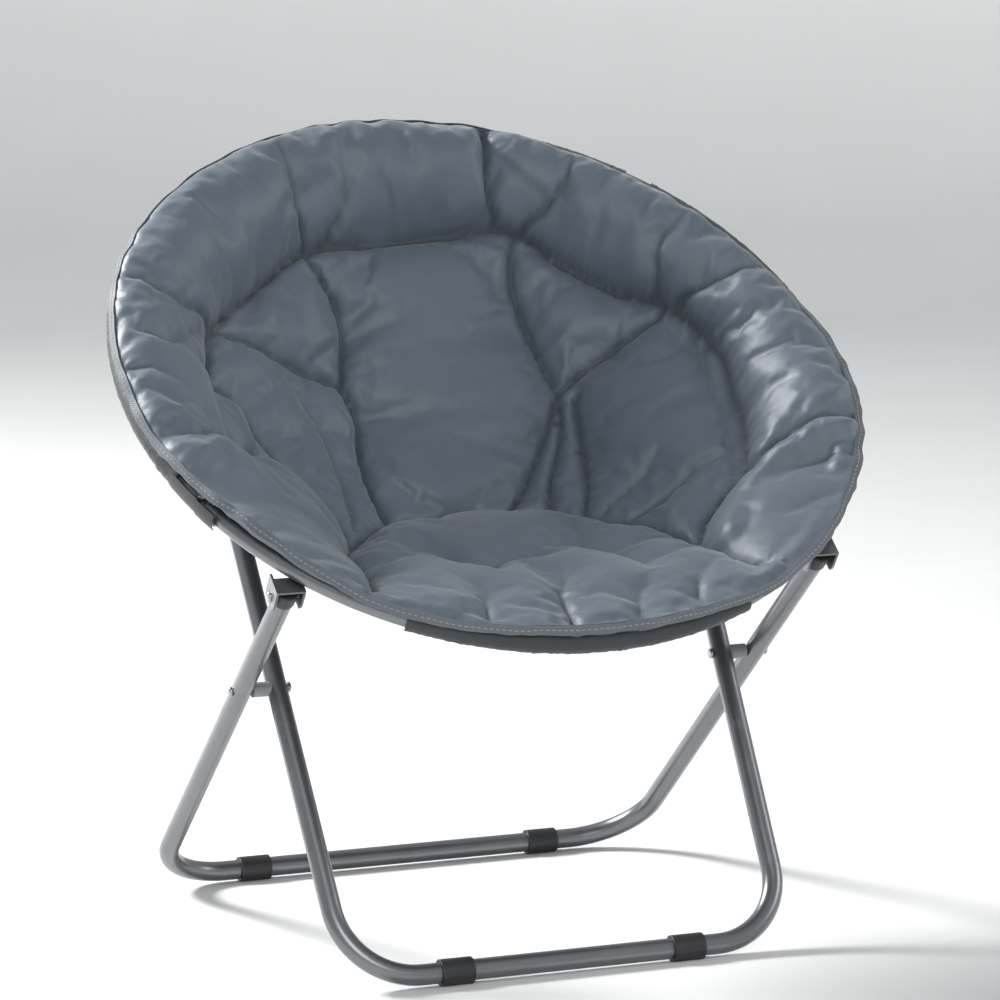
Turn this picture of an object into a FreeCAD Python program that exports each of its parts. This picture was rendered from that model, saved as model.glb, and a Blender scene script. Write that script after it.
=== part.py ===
import FreeCAD, Part
import math
import os

from FreeCAD import Placement, Rotation, Vector

# Folding saucer chair, in millimetres.
# +X is the sitter's left, -Y is the front, +Z is up and the feet stand on z = 0.
# Hoop pieces are drawn in the hoop's own plane: x across, s up the slope of the seat and n square
# to the hoop, then tilted and lifted into place. Leg frames are drawn where they stand.

# hoop
hoop_radius = 395.0
hoop_tube_radius = 9.5
tube_wall = 1.2
hoop_tilt = 37.0
hoop_centre_height = 601.0
hoop_centre_y = 5.5

# hinge between the two parts of the hoop
hinge_station = -167.0
hinge_pivot_height = 12.5
hinge_pin_radius = 2.5
hinge_head_radius = 4.5
hinge_head_height = 2.0
hinge_eye_radius = 6.5
hinge_tongue_width = 10.0
hinge_ear_thickness = 3.0
socket_wall = 2.0
socket_length = 24.0
socket_end_wall = 5.0
hinge_side_gap = 0.25
hinge_eye_gap = 0.6
hinge_head_gap = 0.4
hinge_stop_gap = 0.15
socket_overrun_angle = 2.0

# legs
leg_tube_radius = 11.0
leg_bend_radius = 82.0
leg_end_overhang = 9.0
front_leg_corner_half = 245.5
rear_leg_corner_half = 290.6
glide_thickness = 3.0
glide_flat = 0.4
glide_length = 36.0
glide_inset = 34.0
glide_edge_round = 1.0

# pivots of the legs, as station along the hoop plane, drop square to it and reach beyond the tube's line
front_leg_pivot_station = 287.0
front_leg_pivot_drop = 54.0
front_leg_pivot_reach = -0.4
rear_leg_pivot_station = -275.0
rear_leg_pivot_drop = 30.0
rear_leg_pivot_reach = 12.85
scissor_station = -227.2
scissor_drop = 222.6

# fasteners and brackets
bolt_radius = 3.0
bolt_head_radius = 5.5
bolt_head_height = 3.0
nut_half_flats = 5.0
nut_height = 4.5
bolt_end_beyond_nut = 1.5
head_round_share = 0.7
scissor_head_gap = 1.0
stud_head_gap = 0.2
pivot_gap = 0.05
hole_gap = 0.05
bracket_plate = 2.5
bracket_length = 28.0
bracket_web_front = 7.0
bracket_web_gap = 1.5
bracket_ear_below = 9.0
bracket_side_gap = 0.9
bracket_saddle_top = -4.75
bracket_fabric_gap = 1.5
cap_wall = 1.2
cap_skirt = 16.0
cap_end = 2.5
cap_gap = 0.05
cap_hole_gap = 0.2
spacer_radius = 8.0
spacer_end_gap = 1.0

# fabric
sleeve_wall = 2.4
sleeve_gap = 0.1
cushion_rim_reach = 11.0
cushion_rim_gap = 1.0
cushion_rim_thickness = 11.0
cushion_hoop_gap = 0.7
cushion_hoop_overrun = 2.0
cushion_crown_inset = 54.0
cushion_crown_top = 9.0
cushion_centre_top = -180.0
cushion_centre_thickness = 42.0
panel_seam_inset = 103.0
panel_seam_top = -60.0
panel_crown_inset = 169.0
panel_crown_top = -93.0
tuft_circle_inset = 230.0
tuft_circle_top = -137.0
tuft_crown_inset = 312.0
tuft_crown_top = -165.0
underside_edge_gap = 2.0
underside_edge_drop = 5.0
underside_seam_inset = 7.0
underside_seam_drop = 31.0
underside_tuft_drop = 39.0
underside_middle_rise = 13.0
tuft_radius = 26.0
tuft_depth = 7.0
tuft_angles = (44.5, 135.5)
tuck_radius = 5.0
tuck_count = 8
seat_back = Vector(0.0, -40.0, -178.0)
seat_front_reach = 7.0
seat_front_top = 18.0
seat_rise = 30.0
seat_inset = 8.0
sling_gap = 0.4
sling_thickness = 2.5
cover_split_gap = 0.2
binding_thickness = 1.6
binding_gap = 0.1
binding_top_reach = 0.5
binding_bottom_reach = 1.0
pocket_side_gap = 3.0
pocket_below = 4.0
pocket_beyond = 5.0
pocket_top_gap = 0.8
pocket_end_angle = 2.0
# sleeves that hold the cover on the hoop, with angles counted from +X towards the back
sleeve_hinge_gap = 14.0
rear_sleeve_splits = ((-11.5, -10.5), (13.5, 14.5), (95.5, 96.5))
front_sleeve_ends = (241.0, 296.0)

# derived places
origin = Vector(0, 0, 0)
axis_x = Vector(1, 0, 0)
axis_z = Vector(0, 0, 1)
cut_reach = 60.0
hinge_angle = math.degrees(math.asin(-hinge_station / hoop_radius))
hinge_half = math.sqrt(hoop_radius ** 2 - hinge_station ** 2)
socket_radius = hoop_tube_radius + socket_wall
tube_setback_angle = math.degrees(socket_end_wall / hoop_radius)
socket_angle = math.degrees(socket_length / hoop_radius)
bar_height = leg_tube_radius + glide_thickness - glide_flat
bracket_inner_half = leg_tube_radius + cap_gap + cap_wall + bracket_side_gap
bracket_outer_half = bracket_inner_half + bracket_plate
front_leg_top_half = math.sqrt(hoop_radius ** 2 - front_leg_pivot_station ** 2) + front_leg_pivot_reach
rear_leg_top_half = math.sqrt(hoop_radius ** 2 - rear_leg_pivot_station ** 2) + rear_leg_pivot_reach
front_leg_place = (front_leg_pivot_station, front_leg_pivot_drop, front_leg_top_half)
rear_leg_place = (rear_leg_pivot_station, rear_leg_pivot_drop, rear_leg_top_half)
sleeve_radius = hoop_tube_radius + sleeve_gap + sleeve_wall
rear_sleeve_start = -hinge_angle + socket_angle + math.degrees(sleeve_hinge_gap / hoop_radius)
cushion_rim_radius = hoop_radius + cushion_rim_reach
cushion_rim_bottom = sleeve_radius + cushion_rim_gap
cushion_rim_top = cushion_rim_bottom + cushion_rim_thickness
cushion_crown = Vector(hoop_radius - cushion_crown_inset, 0, cushion_crown_top)
panel_seam_radius = hoop_radius - panel_seam_inset
panel_crown = Vector(hoop_radius - panel_crown_inset, 0, panel_crown_top)
tuft_circle_radius = hoop_radius - tuft_circle_inset
tuft_crown = Vector(hoop_radius - tuft_crown_inset, 0, tuft_crown_top)
seat_front = Vector(0, -hoop_radius - seat_front_reach, seat_front_top)
hoop_place = Placement(Vector(0, hoop_centre_y, hoop_centre_height), Rotation(axis_x, hoop_tilt))


def in_hoop(x, station, height):
    """A point of the hoop's own plane, in the chair's frame."""
    return hoop_place.multVec(Vector(x, station, height))


def tilted(shape):
    """The shape moved from the hoop's own plane to its place in the chair."""
    moved = shape.copy()
    moved.Placement = hoop_place.multiply(moved.Placement)
    return moved


def mirrored(shape):
    """The same piece on the other side of the chair."""
    return shape.mirror(origin, axis_x)


def write(name, *solids):
    """One STEP file for one node."""
    shape = solids[0] if len(solids) == 1 else Part.makeCompound(list(solids))
    shape.exportStep("parts/" + name + ".step")
    print(name, len(shape.Solids), round(shape.Volume), shape.isValid())


def write_pair(name, shape):
    """A piece on the sitter's left and its mirror image on the right, each in its own node."""
    write(name + "_left", shape)
    write(name + "_right", mirrored(shape))


def ring(radius, start, end):
    """A solid round bar along the hoop's centre line between two angles."""
    bar = Part.makeTorus(hoop_radius, radius, origin, axis_z, -180, 180, end - start)
    bar.rotate(origin, axis_z, start)
    return bar


def pipe(radius, wall, start, end):
    """A tube along the hoop's centre line between two angles."""
    return ring(radius, start, end).cut(ring(radius - wall, start, end))


def rod(radius, x_start, x_end, y, z):
    """A round bar along X."""
    return Part.makeCylinder(radius, x_end - x_start, Vector(x_start, y, z), axis_x)


def block(x_low, x_high, y_low, y_high, z_low, z_high):
    """A box given by its limits."""
    return Part.makeBox(x_high - x_low, y_high - y_low, z_high - z_low, Vector(x_low, y_low, z_low))


def revolved(edges):
    """A body of revolution about the hoop's axis from a closed outline in the x-n plane."""
    return Part.Face(Part.Wire(Part.__sortEdges__(edges))).revolve(origin, axis_z, 360)


def line(start, end):
    return Part.LineSegment(start, end).toShape()


def arc(start, middle, end):
    return Part.Arc(start, middle, end).toShape()


def outline_arc(start, middle, end):
    """An arc of an outline that is turned about the hoop's axis."""
    return Part.Arc(start, middle, end).toBSpline().toShape()


def domed_bolt(radius, head_radius, head_height, x_head, x_end, y, z):
    """A bolt along X with a domed head on the outside and its shank towards x_end."""
    head = rod(head_radius, x_head, x_head + head_height, y, z)
    outer = [edge for edge in head.Edges if abs(edge.CenterOfMass.x - x_head - head_height) < 0.01]
    outer = [edge for edge in outer if len(edge.Vertexes) == 1]
    head = head.makeFillet(head_height * head_round_share, outer)
    return head.fuse(rod(radius, x_end, x_head, y, z)).removeSplitter()


def hexagon_nut(x_low, y, z):
    """A hexagonal nut along X."""
    corner = nut_half_flats / math.cos(math.pi / 6)
    points = []
    for side in range(7):
        turn = math.radians(60 * side)
        points.append(Vector(x_low, y + corner * math.cos(turn), z + corner * math.sin(turn)))
    nut = Part.Face(Part.makePolygon(points)).extrude(Vector(nut_height, 0, 0))
    return nut.cut(rod(bolt_radius + hole_gap, x_low, x_low + nut_height, y, z))


# hoop tubes and the hinge between them

def hinge_disc(radius, x_low, x_high):
    """A disc about the hinge pin, between two distances from the middle of the hinge."""
    return rod(radius, hinge_half + x_low, hinge_half + x_high, hinge_station, hinge_pivot_height)


def hinge_eye_room():
    """Room round the eyes of both hinges, across the whole tube."""
    room = hinge_disc(hinge_eye_radius + hinge_eye_gap, -2 * socket_radius, 2 * socket_radius)
    return room.fuse(mirrored(room))


def rear_hoop_tube():
    setback = tube_setback_angle
    tube = pipe(hoop_tube_radius, tube_wall, -hinge_angle + setback, 180 + hinge_angle - setback)
    return tube.cut(hinge_eye_room())


def front_hoop_tube():
    setback = tube_setback_angle
    tube = pipe(hoop_tube_radius, tube_wall, 180 + hinge_angle + setback, 360 - hinge_angle - setback)
    return tube.cut(hinge_eye_room())


def hinge_layers():
    """The tongue's layer and the two ears' layers, from the middle of the hinge."""
    tongue = hinge_tongue_width / 2
    ear = tongue + hinge_side_gap
    return (-tongue, tongue), ((-ear - hinge_ear_thickness, -ear), (ear, ear + hinge_ear_thickness))


def pin_head_room():
    """Room for the pin's two heads beside the ears."""
    outside = hinge_layers()[1][1][1]
    deep = outside + hinge_head_height + hinge_head_gap
    radius = hinge_head_radius + hinge_head_gap
    return hinge_disc(radius, outside, deep).fuse(hinge_disc(radius, -deep, -outside))


def hinge_fork():
    """Socket on the end of the rear hoop with two ears for the hinge pin."""
    socket = ring(socket_radius, -hinge_angle - socket_overrun_angle, -hinge_angle + socket_angle)
    ahead = block(0, 2 * hoop_radius, -hoop_radius, hinge_station + hinge_stop_gap, -cut_reach, cut_reach)
    socket = socket.cut(ahead)
    (tongue_low, tongue_high), ears = hinge_layers()
    room = hinge_eye_radius + hinge_eye_gap
    socket = socket.cut(hinge_disc(room, tongue_low - hinge_side_gap, tongue_high + hinge_side_gap))
    for low, high in ears:
        neck = block(hinge_half + low, hinge_half + high, hinge_station, hinge_station + hinge_eye_radius,
                     0, hinge_pivot_height)
        socket = socket.fuse(hinge_disc(hinge_eye_radius, low, high)).fuse(neck)
    bore = ring(hoop_tube_radius, -hinge_angle + tube_setback_angle, 0).cut(hinge_eye_room())
    hole = hinge_disc(hinge_pin_radius, -cut_reach, cut_reach)
    return socket.cut(bore).cut(pin_head_room()).cut(hole).removeSplitter()


def hinge_tongue():
    """Socket on the end of the front hoop with one tongue between the fork's ears."""
    end = -hinge_angle
    socket = ring(socket_radius, end - socket_angle, end + socket_overrun_angle)
    behind = block(0, 2 * hoop_radius, hinge_station - hinge_stop_gap, hoop_radius, -cut_reach, cut_reach)
    socket = socket.cut(behind)
    (low, high), ears = hinge_layers()
    room = hinge_eye_radius + hinge_eye_gap
    for ear_low, ear_high in ears:
        socket = socket.cut(hinge_disc(room, ear_low - hinge_side_gap, ear_high + hinge_side_gap))
    neck = block(hinge_half + low, hinge_half + high, hinge_station - hinge_eye_radius - socket_wall * 2,
                 hinge_station, hoop_tube_radius, hinge_pivot_height)
    tongue = hinge_disc(hinge_eye_radius, low, high).fuse(neck)
    bore = ring(hoop_tube_radius, -90, end - tube_setback_angle).cut(hinge_eye_room())
    hole = hinge_disc(hinge_pin_radius + pivot_gap, -cut_reach, cut_reach)
    return socket.fuse(tongue).cut(bore).cut(pin_head_room()).cut(hole).removeSplitter()


def hinge_pin():
    """Pin with a formed head at each end."""
    outside = hinge_layers()[1][1][1]
    pin = hinge_disc(hinge_pin_radius, -outside, outside)
    for side in (-1, 1):
        low, high = sorted((side * outside, side * (outside + hinge_head_height)))
        pin = pin.fuse(hinge_disc(hinge_head_radius, low, high))
    return pin.removeSplitter()


# leg brackets under the hoop

def bracket(station, drop, half, web_front):
    """Channel with two ears, coped to the underside of the hoop tube."""
    inner = bracket_inner_half
    outer = bracket_outer_half
    back = station - bracket_length / 2
    web_top = -hoop_tube_radius - bracket_web_gap
    web = block(half - outer, half + outer, back, station + web_front, web_top - bracket_plate, web_top)
    body = web
    for low, high in ((-outer, -inner), (inner, outer)):
        ear = block(half + low, half + high, back, station + bracket_length / 2, -drop, web_top)
        round_end = rod(bracket_length / 2, half + low, half + high, station, -drop)
        foot = block(half + low, half + high, back, station + bracket_length / 2,
                     -drop - bracket_ear_below, -drop)
        body = body.fuse(ear).fuse(round_end.common(foot))
    saddle = block(half - outer, half + outer, back, station + web_front, web_top, bracket_saddle_top)
    near_tube = ring(hoop_tube_radius + bracket_plate, -180, 180)
    body = body.fuse(saddle.common(near_tube)).cut(ring(hoop_tube_radius, -180, 180))
    hole = rod(bolt_radius + hole_gap, half - cut_reach, half + cut_reach, station, -drop)
    return body.cut(hole).removeSplitter()


def bracket_bolt(station, drop, half):
    outside = half + bracket_outer_half
    inside = half - bracket_outer_half - nut_height - bolt_end_beyond_nut
    return domed_bolt(bolt_radius, bolt_head_radius, bolt_head_height, outside, inside, station, -drop)


def bracket_nut(station, drop, half):
    return hexagon_nut(half - bracket_outer_half - nut_height, station, -drop)


def bracket_room():
    """Room in the fabric for the two brackets at the back of the hoop."""
    half = front_leg_top_half
    side = bracket_outer_half + bracket_fabric_gap
    reach = bracket_length / 2 + bracket_fabric_gap
    station = front_leg_pivot_station
    room = block(half - side, half + side, station - reach, station + reach,
                 -front_leg_pivot_drop - bracket_length, bracket_saddle_top + bracket_fabric_gap)
    return room.fuse(mirrored(room))


# leg frames

class LegFrame:
    """A U of round tube with its floor bar across the chair."""

    def __init__(self, station, drop, top_half, corner_half):
        self.pivot = in_hoop(top_half, station, -drop)
        scissor = in_hoop(0, scissor_station, -scissor_drop)
        run = (bar_height - self.pivot.z) / (scissor.z - self.pivot.z)
        bar_y = self.pivot.y + run * (scissor.y - self.pivot.y)
        self.corner = Vector(corner_half, bar_y, bar_height)
        self.along = (self.corner - self.pivot).normalize()
        reach = (scissor.z - self.pivot.z) / self.along.z
        self.scissor = self.pivot + self.along * reach
        self.top = self.pivot - self.along * leg_end_overhang

    def path(self):
        """Centre line from one top end round the floor bar to the other."""
        inward = Vector(-1, 0, 0)
        half_turn = math.acos(max(-1.0, min(1.0, self.along.dot(inward)))) / 2
        tangent = leg_bend_radius * math.tan(half_turn)
        start = self.corner - self.along * tangent
        end = self.corner + inward * tangent
        middle_way = (inward - self.along).normalize()
        centre = self.corner + middle_way * (leg_bend_radius / math.cos(half_turn))
        middle = centre - middle_way * leg_bend_radius
        points = [self.top, start, middle, end]
        flip = [Vector(-p.x, p.y, p.z) for p in points]
        edges = [line(self.top, start), arc(start, middle, end), line(end, flip[3]),
                 arc(flip[3], flip[2], flip[1]), line(flip[1], flip[0])]
        return Part.Wire(edges)

    def bar(self, radius):
        """The whole frame as a solid round bar."""
        outline = Part.Wire(Part.makeCircle(radius, self.top, self.along))
        return self.path().makePipeShell([outline], True, False)

    def tube(self):
        """The frame's tube, with its pivot holes."""
        shape = self.bar(leg_tube_radius).cut(self.bar(leg_tube_radius - tube_wall))
        for point in (self.pivot, self.scissor):
            shape = shape.cut(rod(bolt_radius + pivot_gap, -hoop_radius, hoop_radius, point.y, point.z))
        return shape

    def cap(self):
        """Moulded cap over the top end of the leg."""
        inner = leg_tube_radius + cap_gap
        start = self.top - self.along * cap_end
        body = Part.makeCylinder(inner + cap_wall, cap_skirt + cap_end, start, self.along)
        rim = [edge for edge in body.Edges if len(edge.Vertexes) == 1
               and edge.CenterOfMass.distanceToPoint(start) < 0.01]
        body = body.makeFillet(cap_end * head_round_share, rim)
        body = body.cut(Part.makeCylinder(inner, cap_skirt + cap_end, self.top, self.along))
        low, high = self.pivot.x - cut_reach, self.pivot.x + cut_reach
        hole = rod(bolt_radius + cap_hole_gap, low, high, self.pivot.y, self.pivot.z)
        return body.cut(hole)

    def glide(self):
        """Moulded shoe round the floor bar, cut flat where it stands."""
        centre = self.corner.x - leg_bend_radius - glide_inset
        low = centre - glide_length / 2
        shoe = rod(leg_tube_radius + glide_thickness, low, low + glide_length, self.corner.y, bar_height)
        ends = [edge for edge in shoe.Edges if len(edge.Vertexes) == 1]
        shoe = shoe.makeFillet(glide_edge_round, ends)
        shoe = shoe.cut(rod(leg_tube_radius + cap_gap, low, low + glide_length, self.corner.y, bar_height))
        y = self.corner.y
        below = block(low - cut_reach, low + cut_reach, y - cut_reach, y + cut_reach, -cut_reach, 0)
        return shoe.cut(below)


def scissor_spacer(inner_leg, outer_leg):
    """Spacer on the inner leg, saddled to its tube and flat towards the outer leg."""
    end = outer_leg.scissor.x - leg_tube_radius - spacer_end_gap
    body = rod(spacer_radius, inner_leg.scissor.x, end, inner_leg.scissor.y, inner_leg.scissor.z)
    body = body.cut(inner_leg.bar(leg_tube_radius))
    hole = rod(bolt_radius + hole_gap, inner_leg.scissor.x, end, inner_leg.scissor.y, inner_leg.scissor.z)
    return body.cut(hole)


def scissor_bolt(inner_leg, outer_leg):
    """Bolt through the inner leg and its spacer, with its domed end inside the frame."""
    end = outer_leg.scissor.x - leg_tube_radius - spacer_end_gap
    inside = inner_leg.scissor.x - leg_tube_radius - scissor_head_gap
    y, z = inner_leg.scissor.y, inner_leg.scissor.z
    bolt = rod(bolt_radius, inside, end, y, z)
    head = rod(bolt_head_radius, inside - bolt_head_height, inside, y, z)
    tip = [edge for edge in head.Edges if abs(edge.CenterOfMass.x - inside + bolt_head_height) < 0.01]
    tip = [edge for edge in tip if len(edge.Vertexes) == 1]
    head = head.makeFillet(bolt_head_height * head_round_share, tip)
    return bolt.fuse(head).removeSplitter()


def scissor_stud(outer_leg):
    """Head and shank of the scissor pivot in the outer leg."""
    outside = outer_leg.scissor.x + leg_tube_radius + stud_head_gap
    inside = outer_leg.scissor.x - leg_tube_radius
    return domed_bolt(bolt_radius, bolt_head_radius, bolt_head_height, outside, inside,
                      outer_leg.scissor.y, outer_leg.scissor.z)


# fabric

def underside_edges(shift):
    """Underside of the padding from the middle out to the hoop, lowered by a distance."""
    bottom = cushion_centre_top - cushion_centre_thickness - shift
    middle = Vector(0, 0, bottom)
    first = Vector(tuft_circle_radius, 0, tuft_circle_top - underside_tuft_drop - shift)
    first_middle = Vector(tuft_circle_radius / 2, 0, bottom + underside_middle_rise)
    outer = Vector(hoop_radius - sleeve_radius - underside_edge_gap, 0, -underside_edge_drop - shift)
    seam_place = panel_seam_radius - underside_seam_inset
    outer_middle = Vector(seam_place, 0, panel_seam_top - underside_seam_drop - shift)
    edges = [outline_arc(middle, first_middle, first), outline_arc(first, outer_middle, outer)]
    return edges, middle, outer


def seat_pad():
    """Puffed front seat: a shallow dome inside the dish, from the fold behind it to the front rim."""
    edges, bottom, outer = underside_edges(-seat_inset)
    outer_lid = Vector(outer.x, 0, cushion_rim_top)
    middle_lid = Vector(0, 0, cushion_rim_top)
    edges += [line(outer, outer_lid), line(outer_lid, middle_lid), line(middle_lid, bottom)]
    chord = seat_front - seat_back
    radius = chord.Length ** 2 / (8 * seat_rise) + seat_rise / 2
    up = chord.cross(axis_x).normalize()
    centre = (seat_back + seat_front) * 0.5 + up * (seat_rise - radius)
    return revolved(edges).common(Part.makeSphere(radius, centre))


def cushion():
    """Padded cover: puffed rim, sewn panel seam, tufted back, puffed seat and plain underside."""
    edges, bottom, inner = underside_edges(0)
    top = Vector(0, 0, cushion_centre_top)
    tuft = Vector(tuft_circle_radius, 0, tuft_circle_top)
    seam = Vector(panel_seam_radius, 0, panel_seam_top)
    rim_top = Vector(cushion_rim_radius, 0, cushion_rim_top)
    rim_bottom = Vector(cushion_rim_radius, 0, cushion_rim_bottom)
    clear = sleeve_radius + cushion_hoop_gap
    over = Vector(hoop_radius, 0, clear)
    side = Vector(hoop_radius - clear, 0, 0)
    corner = Vector(hoop_radius - clear * math.sqrt(0.5), 0, clear * math.sqrt(0.5))
    rim_inner = Vector(hoop_radius + cushion_hoop_overrun, 0, cushion_rim_bottom)
    edges += [line(inner, side), outline_arc(side, corner, over), line(over, rim_inner),
              line(rim_inner, rim_bottom), line(rim_bottom, rim_top),
              outline_arc(rim_top, cushion_crown, seam), outline_arc(seam, panel_crown, tuft),
              outline_arc(tuft, tuft_crown, top), line(top, bottom)]
    body = revolved(edges).fuse(seat_pad())
    crown = arc(rim_top, cushion_crown, seam).Curve
    for index in range(tuck_count):
        groove = Part.makeTorus(crown.Radius, tuck_radius, crown.Center, Vector(0, 1, 0))
        groove.rotate(origin, axis_z, 360.0 / tuck_count * (index + 0.5))
        body = body.cut(groove)
    for angle in tuft_angles:
        reach = tuft_radius - tuft_depth
        turn = math.radians(angle)
        place = Vector(tuft_circle_radius * math.cos(turn), tuft_circle_radius * math.sin(turn),
                       tuft_circle_top + reach)
        body = body.cut(Part.makeSphere(tuft_radius, place))
    return body.cut(hinge_pockets()).cut(bracket_room())


def hinge_pockets():
    """Room in the cover for the hinges, on both sides."""
    low = hoop_radius - socket_radius - pocket_side_gap
    high = cushion_rim_radius + binding_thickness + pocket_beyond
    bottom = -socket_radius - pocket_below
    top = hinge_pivot_height + hinge_eye_radius + pocket_top_gap
    outline = [Vector(low, 0, bottom), Vector(high, 0, bottom), Vector(high, 0, top), Vector(low, 0, top)]
    face = Part.Face(Part.makePolygon(outline + outline[:1]))
    span = 2 * socket_angle + pocket_end_angle
    pocket = face.revolve(origin, axis_z, span)
    pocket.rotate(origin, axis_z, -hinge_angle - span / 2)
    return pocket.fuse(mirrored(pocket))


def sling():
    """Plain base cloth under the padding."""
    upper, top, outer_top = underside_edges(sling_gap)
    lower, bottom, outer_bottom = underside_edges(sling_gap + sling_thickness)
    body = revolved(upper + lower + [line(top, bottom), line(outer_top, outer_bottom)])
    return body.cut(hinge_pockets()).cut(bracket_room())


def binding():
    """Tape sewn round the edge of the cover."""
    low = cushion_rim_radius + binding_gap
    high = low + binding_thickness
    top = cushion_rim_top + binding_top_reach
    bottom = cushion_rim_bottom - binding_bottom_reach
    outline = [Vector(low, 0, bottom), Vector(high, 0, bottom), Vector(high, 0, top), Vector(low, 0, top)]
    face = Part.Face(Part.makePolygon(outline + outline[:1]))
    return face.revolve(origin, axis_z, 360).cut(hinge_pockets())


def behind_hinge():
    reach = 2 * hoop_radius
    return block(-reach, reach, hinge_station + cover_split_gap, reach, -reach, reach)


def ahead_of_hinge():
    reach = 2 * hoop_radius
    return block(-reach, reach, -reach, hinge_station - cover_split_gap, -reach, reach)


def bracket_splits():
    """Where the sleeves stop on each side of the two brackets at the back of the hoop."""
    side = bracket_outer_half + bracket_fabric_gap
    reach = bracket_length / 2 + bracket_fabric_gap
    station = front_leg_pivot_station
    start = math.degrees(math.atan2(station - reach, front_leg_top_half + side))
    end = math.degrees(math.atan2(station + reach, front_leg_top_half - side))
    return (start, end), (180 - end, 180 - start)


def sleeves(ends, splits):
    """Cloth tubes round the hoop from one end to the other, with a gap at each split."""
    places = [ends[0]] + sorted(angle for split in splits for angle in split) + [ends[1]]
    pairs = zip(places[::2], places[1::2])
    return [tilted(pipe(sleeve_radius, sleeve_wall, start, end)) for start, end in pairs]


def write_fabric():
    for name, whole in (("cushion", cushion()), ("sling", sling()), ("binding", binding())):
        write("rear_" + name, *tilted(whole.common(behind_hinge())).Solids)
        write("front_" + name, *tilted(whole.common(ahead_of_hinge())).Solids)
    rear_ends = (rear_sleeve_start, 180 - rear_sleeve_start)
    write("rear_sleeves", *sleeves(rear_ends, rear_sleeve_splits + bracket_splits()))
    write("front_sleeve", *sleeves(front_sleeve_ends, ()))


def write_hoops():
    write("rear_hoop_tube", tilted(rear_hoop_tube()))
    write("front_hoop_tube", tilted(front_hoop_tube()))
    write_pair("hinge_fork", tilted(hinge_fork()))
    write_pair("hinge_tongue", tilted(hinge_tongue()))
    write("hinge_pins", tilted(hinge_pin()), mirrored(tilted(hinge_pin())))


def write_brackets(name, place, web_front):
    write_pair(name + "_bracket", tilted(bracket(*place, web_front)))
    bolt = tilted(bracket_bolt(*place))
    nut = tilted(bracket_nut(*place))
    write(name + "_bracket_bolts", bolt, mirrored(bolt))
    write(name + "_bracket_nuts", nut, mirrored(nut))


def write_legs():
    front = LegFrame(*front_leg_place, front_leg_corner_half)
    rear = LegFrame(*rear_leg_place, rear_leg_corner_half)
    for name, frame in (("front", front), ("rear", rear)):
        write(name + "_leg_tube", frame.tube())
        write_pair(name + "_leg_cap", frame.cap())
        write_pair(name + "_glide", frame.glide())
        print(name, "pivot", frame.pivot, "scissor", frame.scissor, "corner", frame.corner)
    write_pair("scissor_spacer", scissor_spacer(front, rear))
    bolt = scissor_bolt(front, rear)
    stud = scissor_stud(rear)
    write("scissor_bolts", bolt, mirrored(bolt))
    write("scissor_studs", stud, mirrored(stud))


os.makedirs("parts", exist_ok=True)
write_hoops()
write_brackets("rear", front_leg_place, bracket_length / 2)
write_brackets("front", rear_leg_place, bracket_web_front)
write_legs()
write_fabric()
print("hinge", in_hoop(hinge_half, hinge_station, hinge_pivot_height))
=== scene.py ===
"""Looks of the folding saucer chair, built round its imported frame."""
import sys

import logging
import math
from dataclasses import dataclass, field
from enum import Enum

import bmesh
import bpy
import numpy as np
from mathutils import Matrix, Vector


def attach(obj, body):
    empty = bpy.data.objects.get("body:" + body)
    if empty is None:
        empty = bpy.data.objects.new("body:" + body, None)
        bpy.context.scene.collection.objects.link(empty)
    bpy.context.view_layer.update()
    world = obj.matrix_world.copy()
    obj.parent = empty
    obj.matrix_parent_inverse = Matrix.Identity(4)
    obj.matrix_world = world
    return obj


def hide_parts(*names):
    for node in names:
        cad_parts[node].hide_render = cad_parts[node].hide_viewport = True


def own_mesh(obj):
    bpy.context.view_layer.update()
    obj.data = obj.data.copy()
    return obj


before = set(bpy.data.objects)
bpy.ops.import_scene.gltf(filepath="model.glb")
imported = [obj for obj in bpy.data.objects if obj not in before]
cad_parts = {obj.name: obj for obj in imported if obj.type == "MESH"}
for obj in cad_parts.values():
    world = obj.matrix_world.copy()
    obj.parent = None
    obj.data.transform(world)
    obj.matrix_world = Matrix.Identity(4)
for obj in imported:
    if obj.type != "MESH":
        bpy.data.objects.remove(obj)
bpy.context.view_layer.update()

MM = 0.001
Point = tuple[float, float]
log = logging.getLogger("saucer_chair")


class Body(Enum):
    """The bodies that pieces ride on."""

    REAR_HOOP = "rear_hoop"
    FRONT_HOOP = "front_hoop"


class Slot(Enum):
    """Material slots of the record."""

    FRAME_PAINT = "frame_paint"
    FASTENER_STEEL = "fastener_steel"
    BLACK_PLASTIC = "black_plastic"
    GREY_PLASTIC = "grey_plastic"
    SEAT_CLOTH = "seat_cloth"
    BASE_CLOTH = "base_cloth"
    BINDING_TAPE = "binding_tape"


def smooth_step(low: float, high: float, value: np.ndarray) -> np.ndarray:
    """Rises smoothly from 0 at low to 1 at high.

    Args:
        low: Where the rise starts.
        high: Where it ends.
        value: Places to look it up at.

    Returns:
        The share at each place.
    """
    share = np.clip((value - low) / (high - low), 0.0, 1.0)
    return share * share * (3.0 - 2.0 * share)


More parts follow.
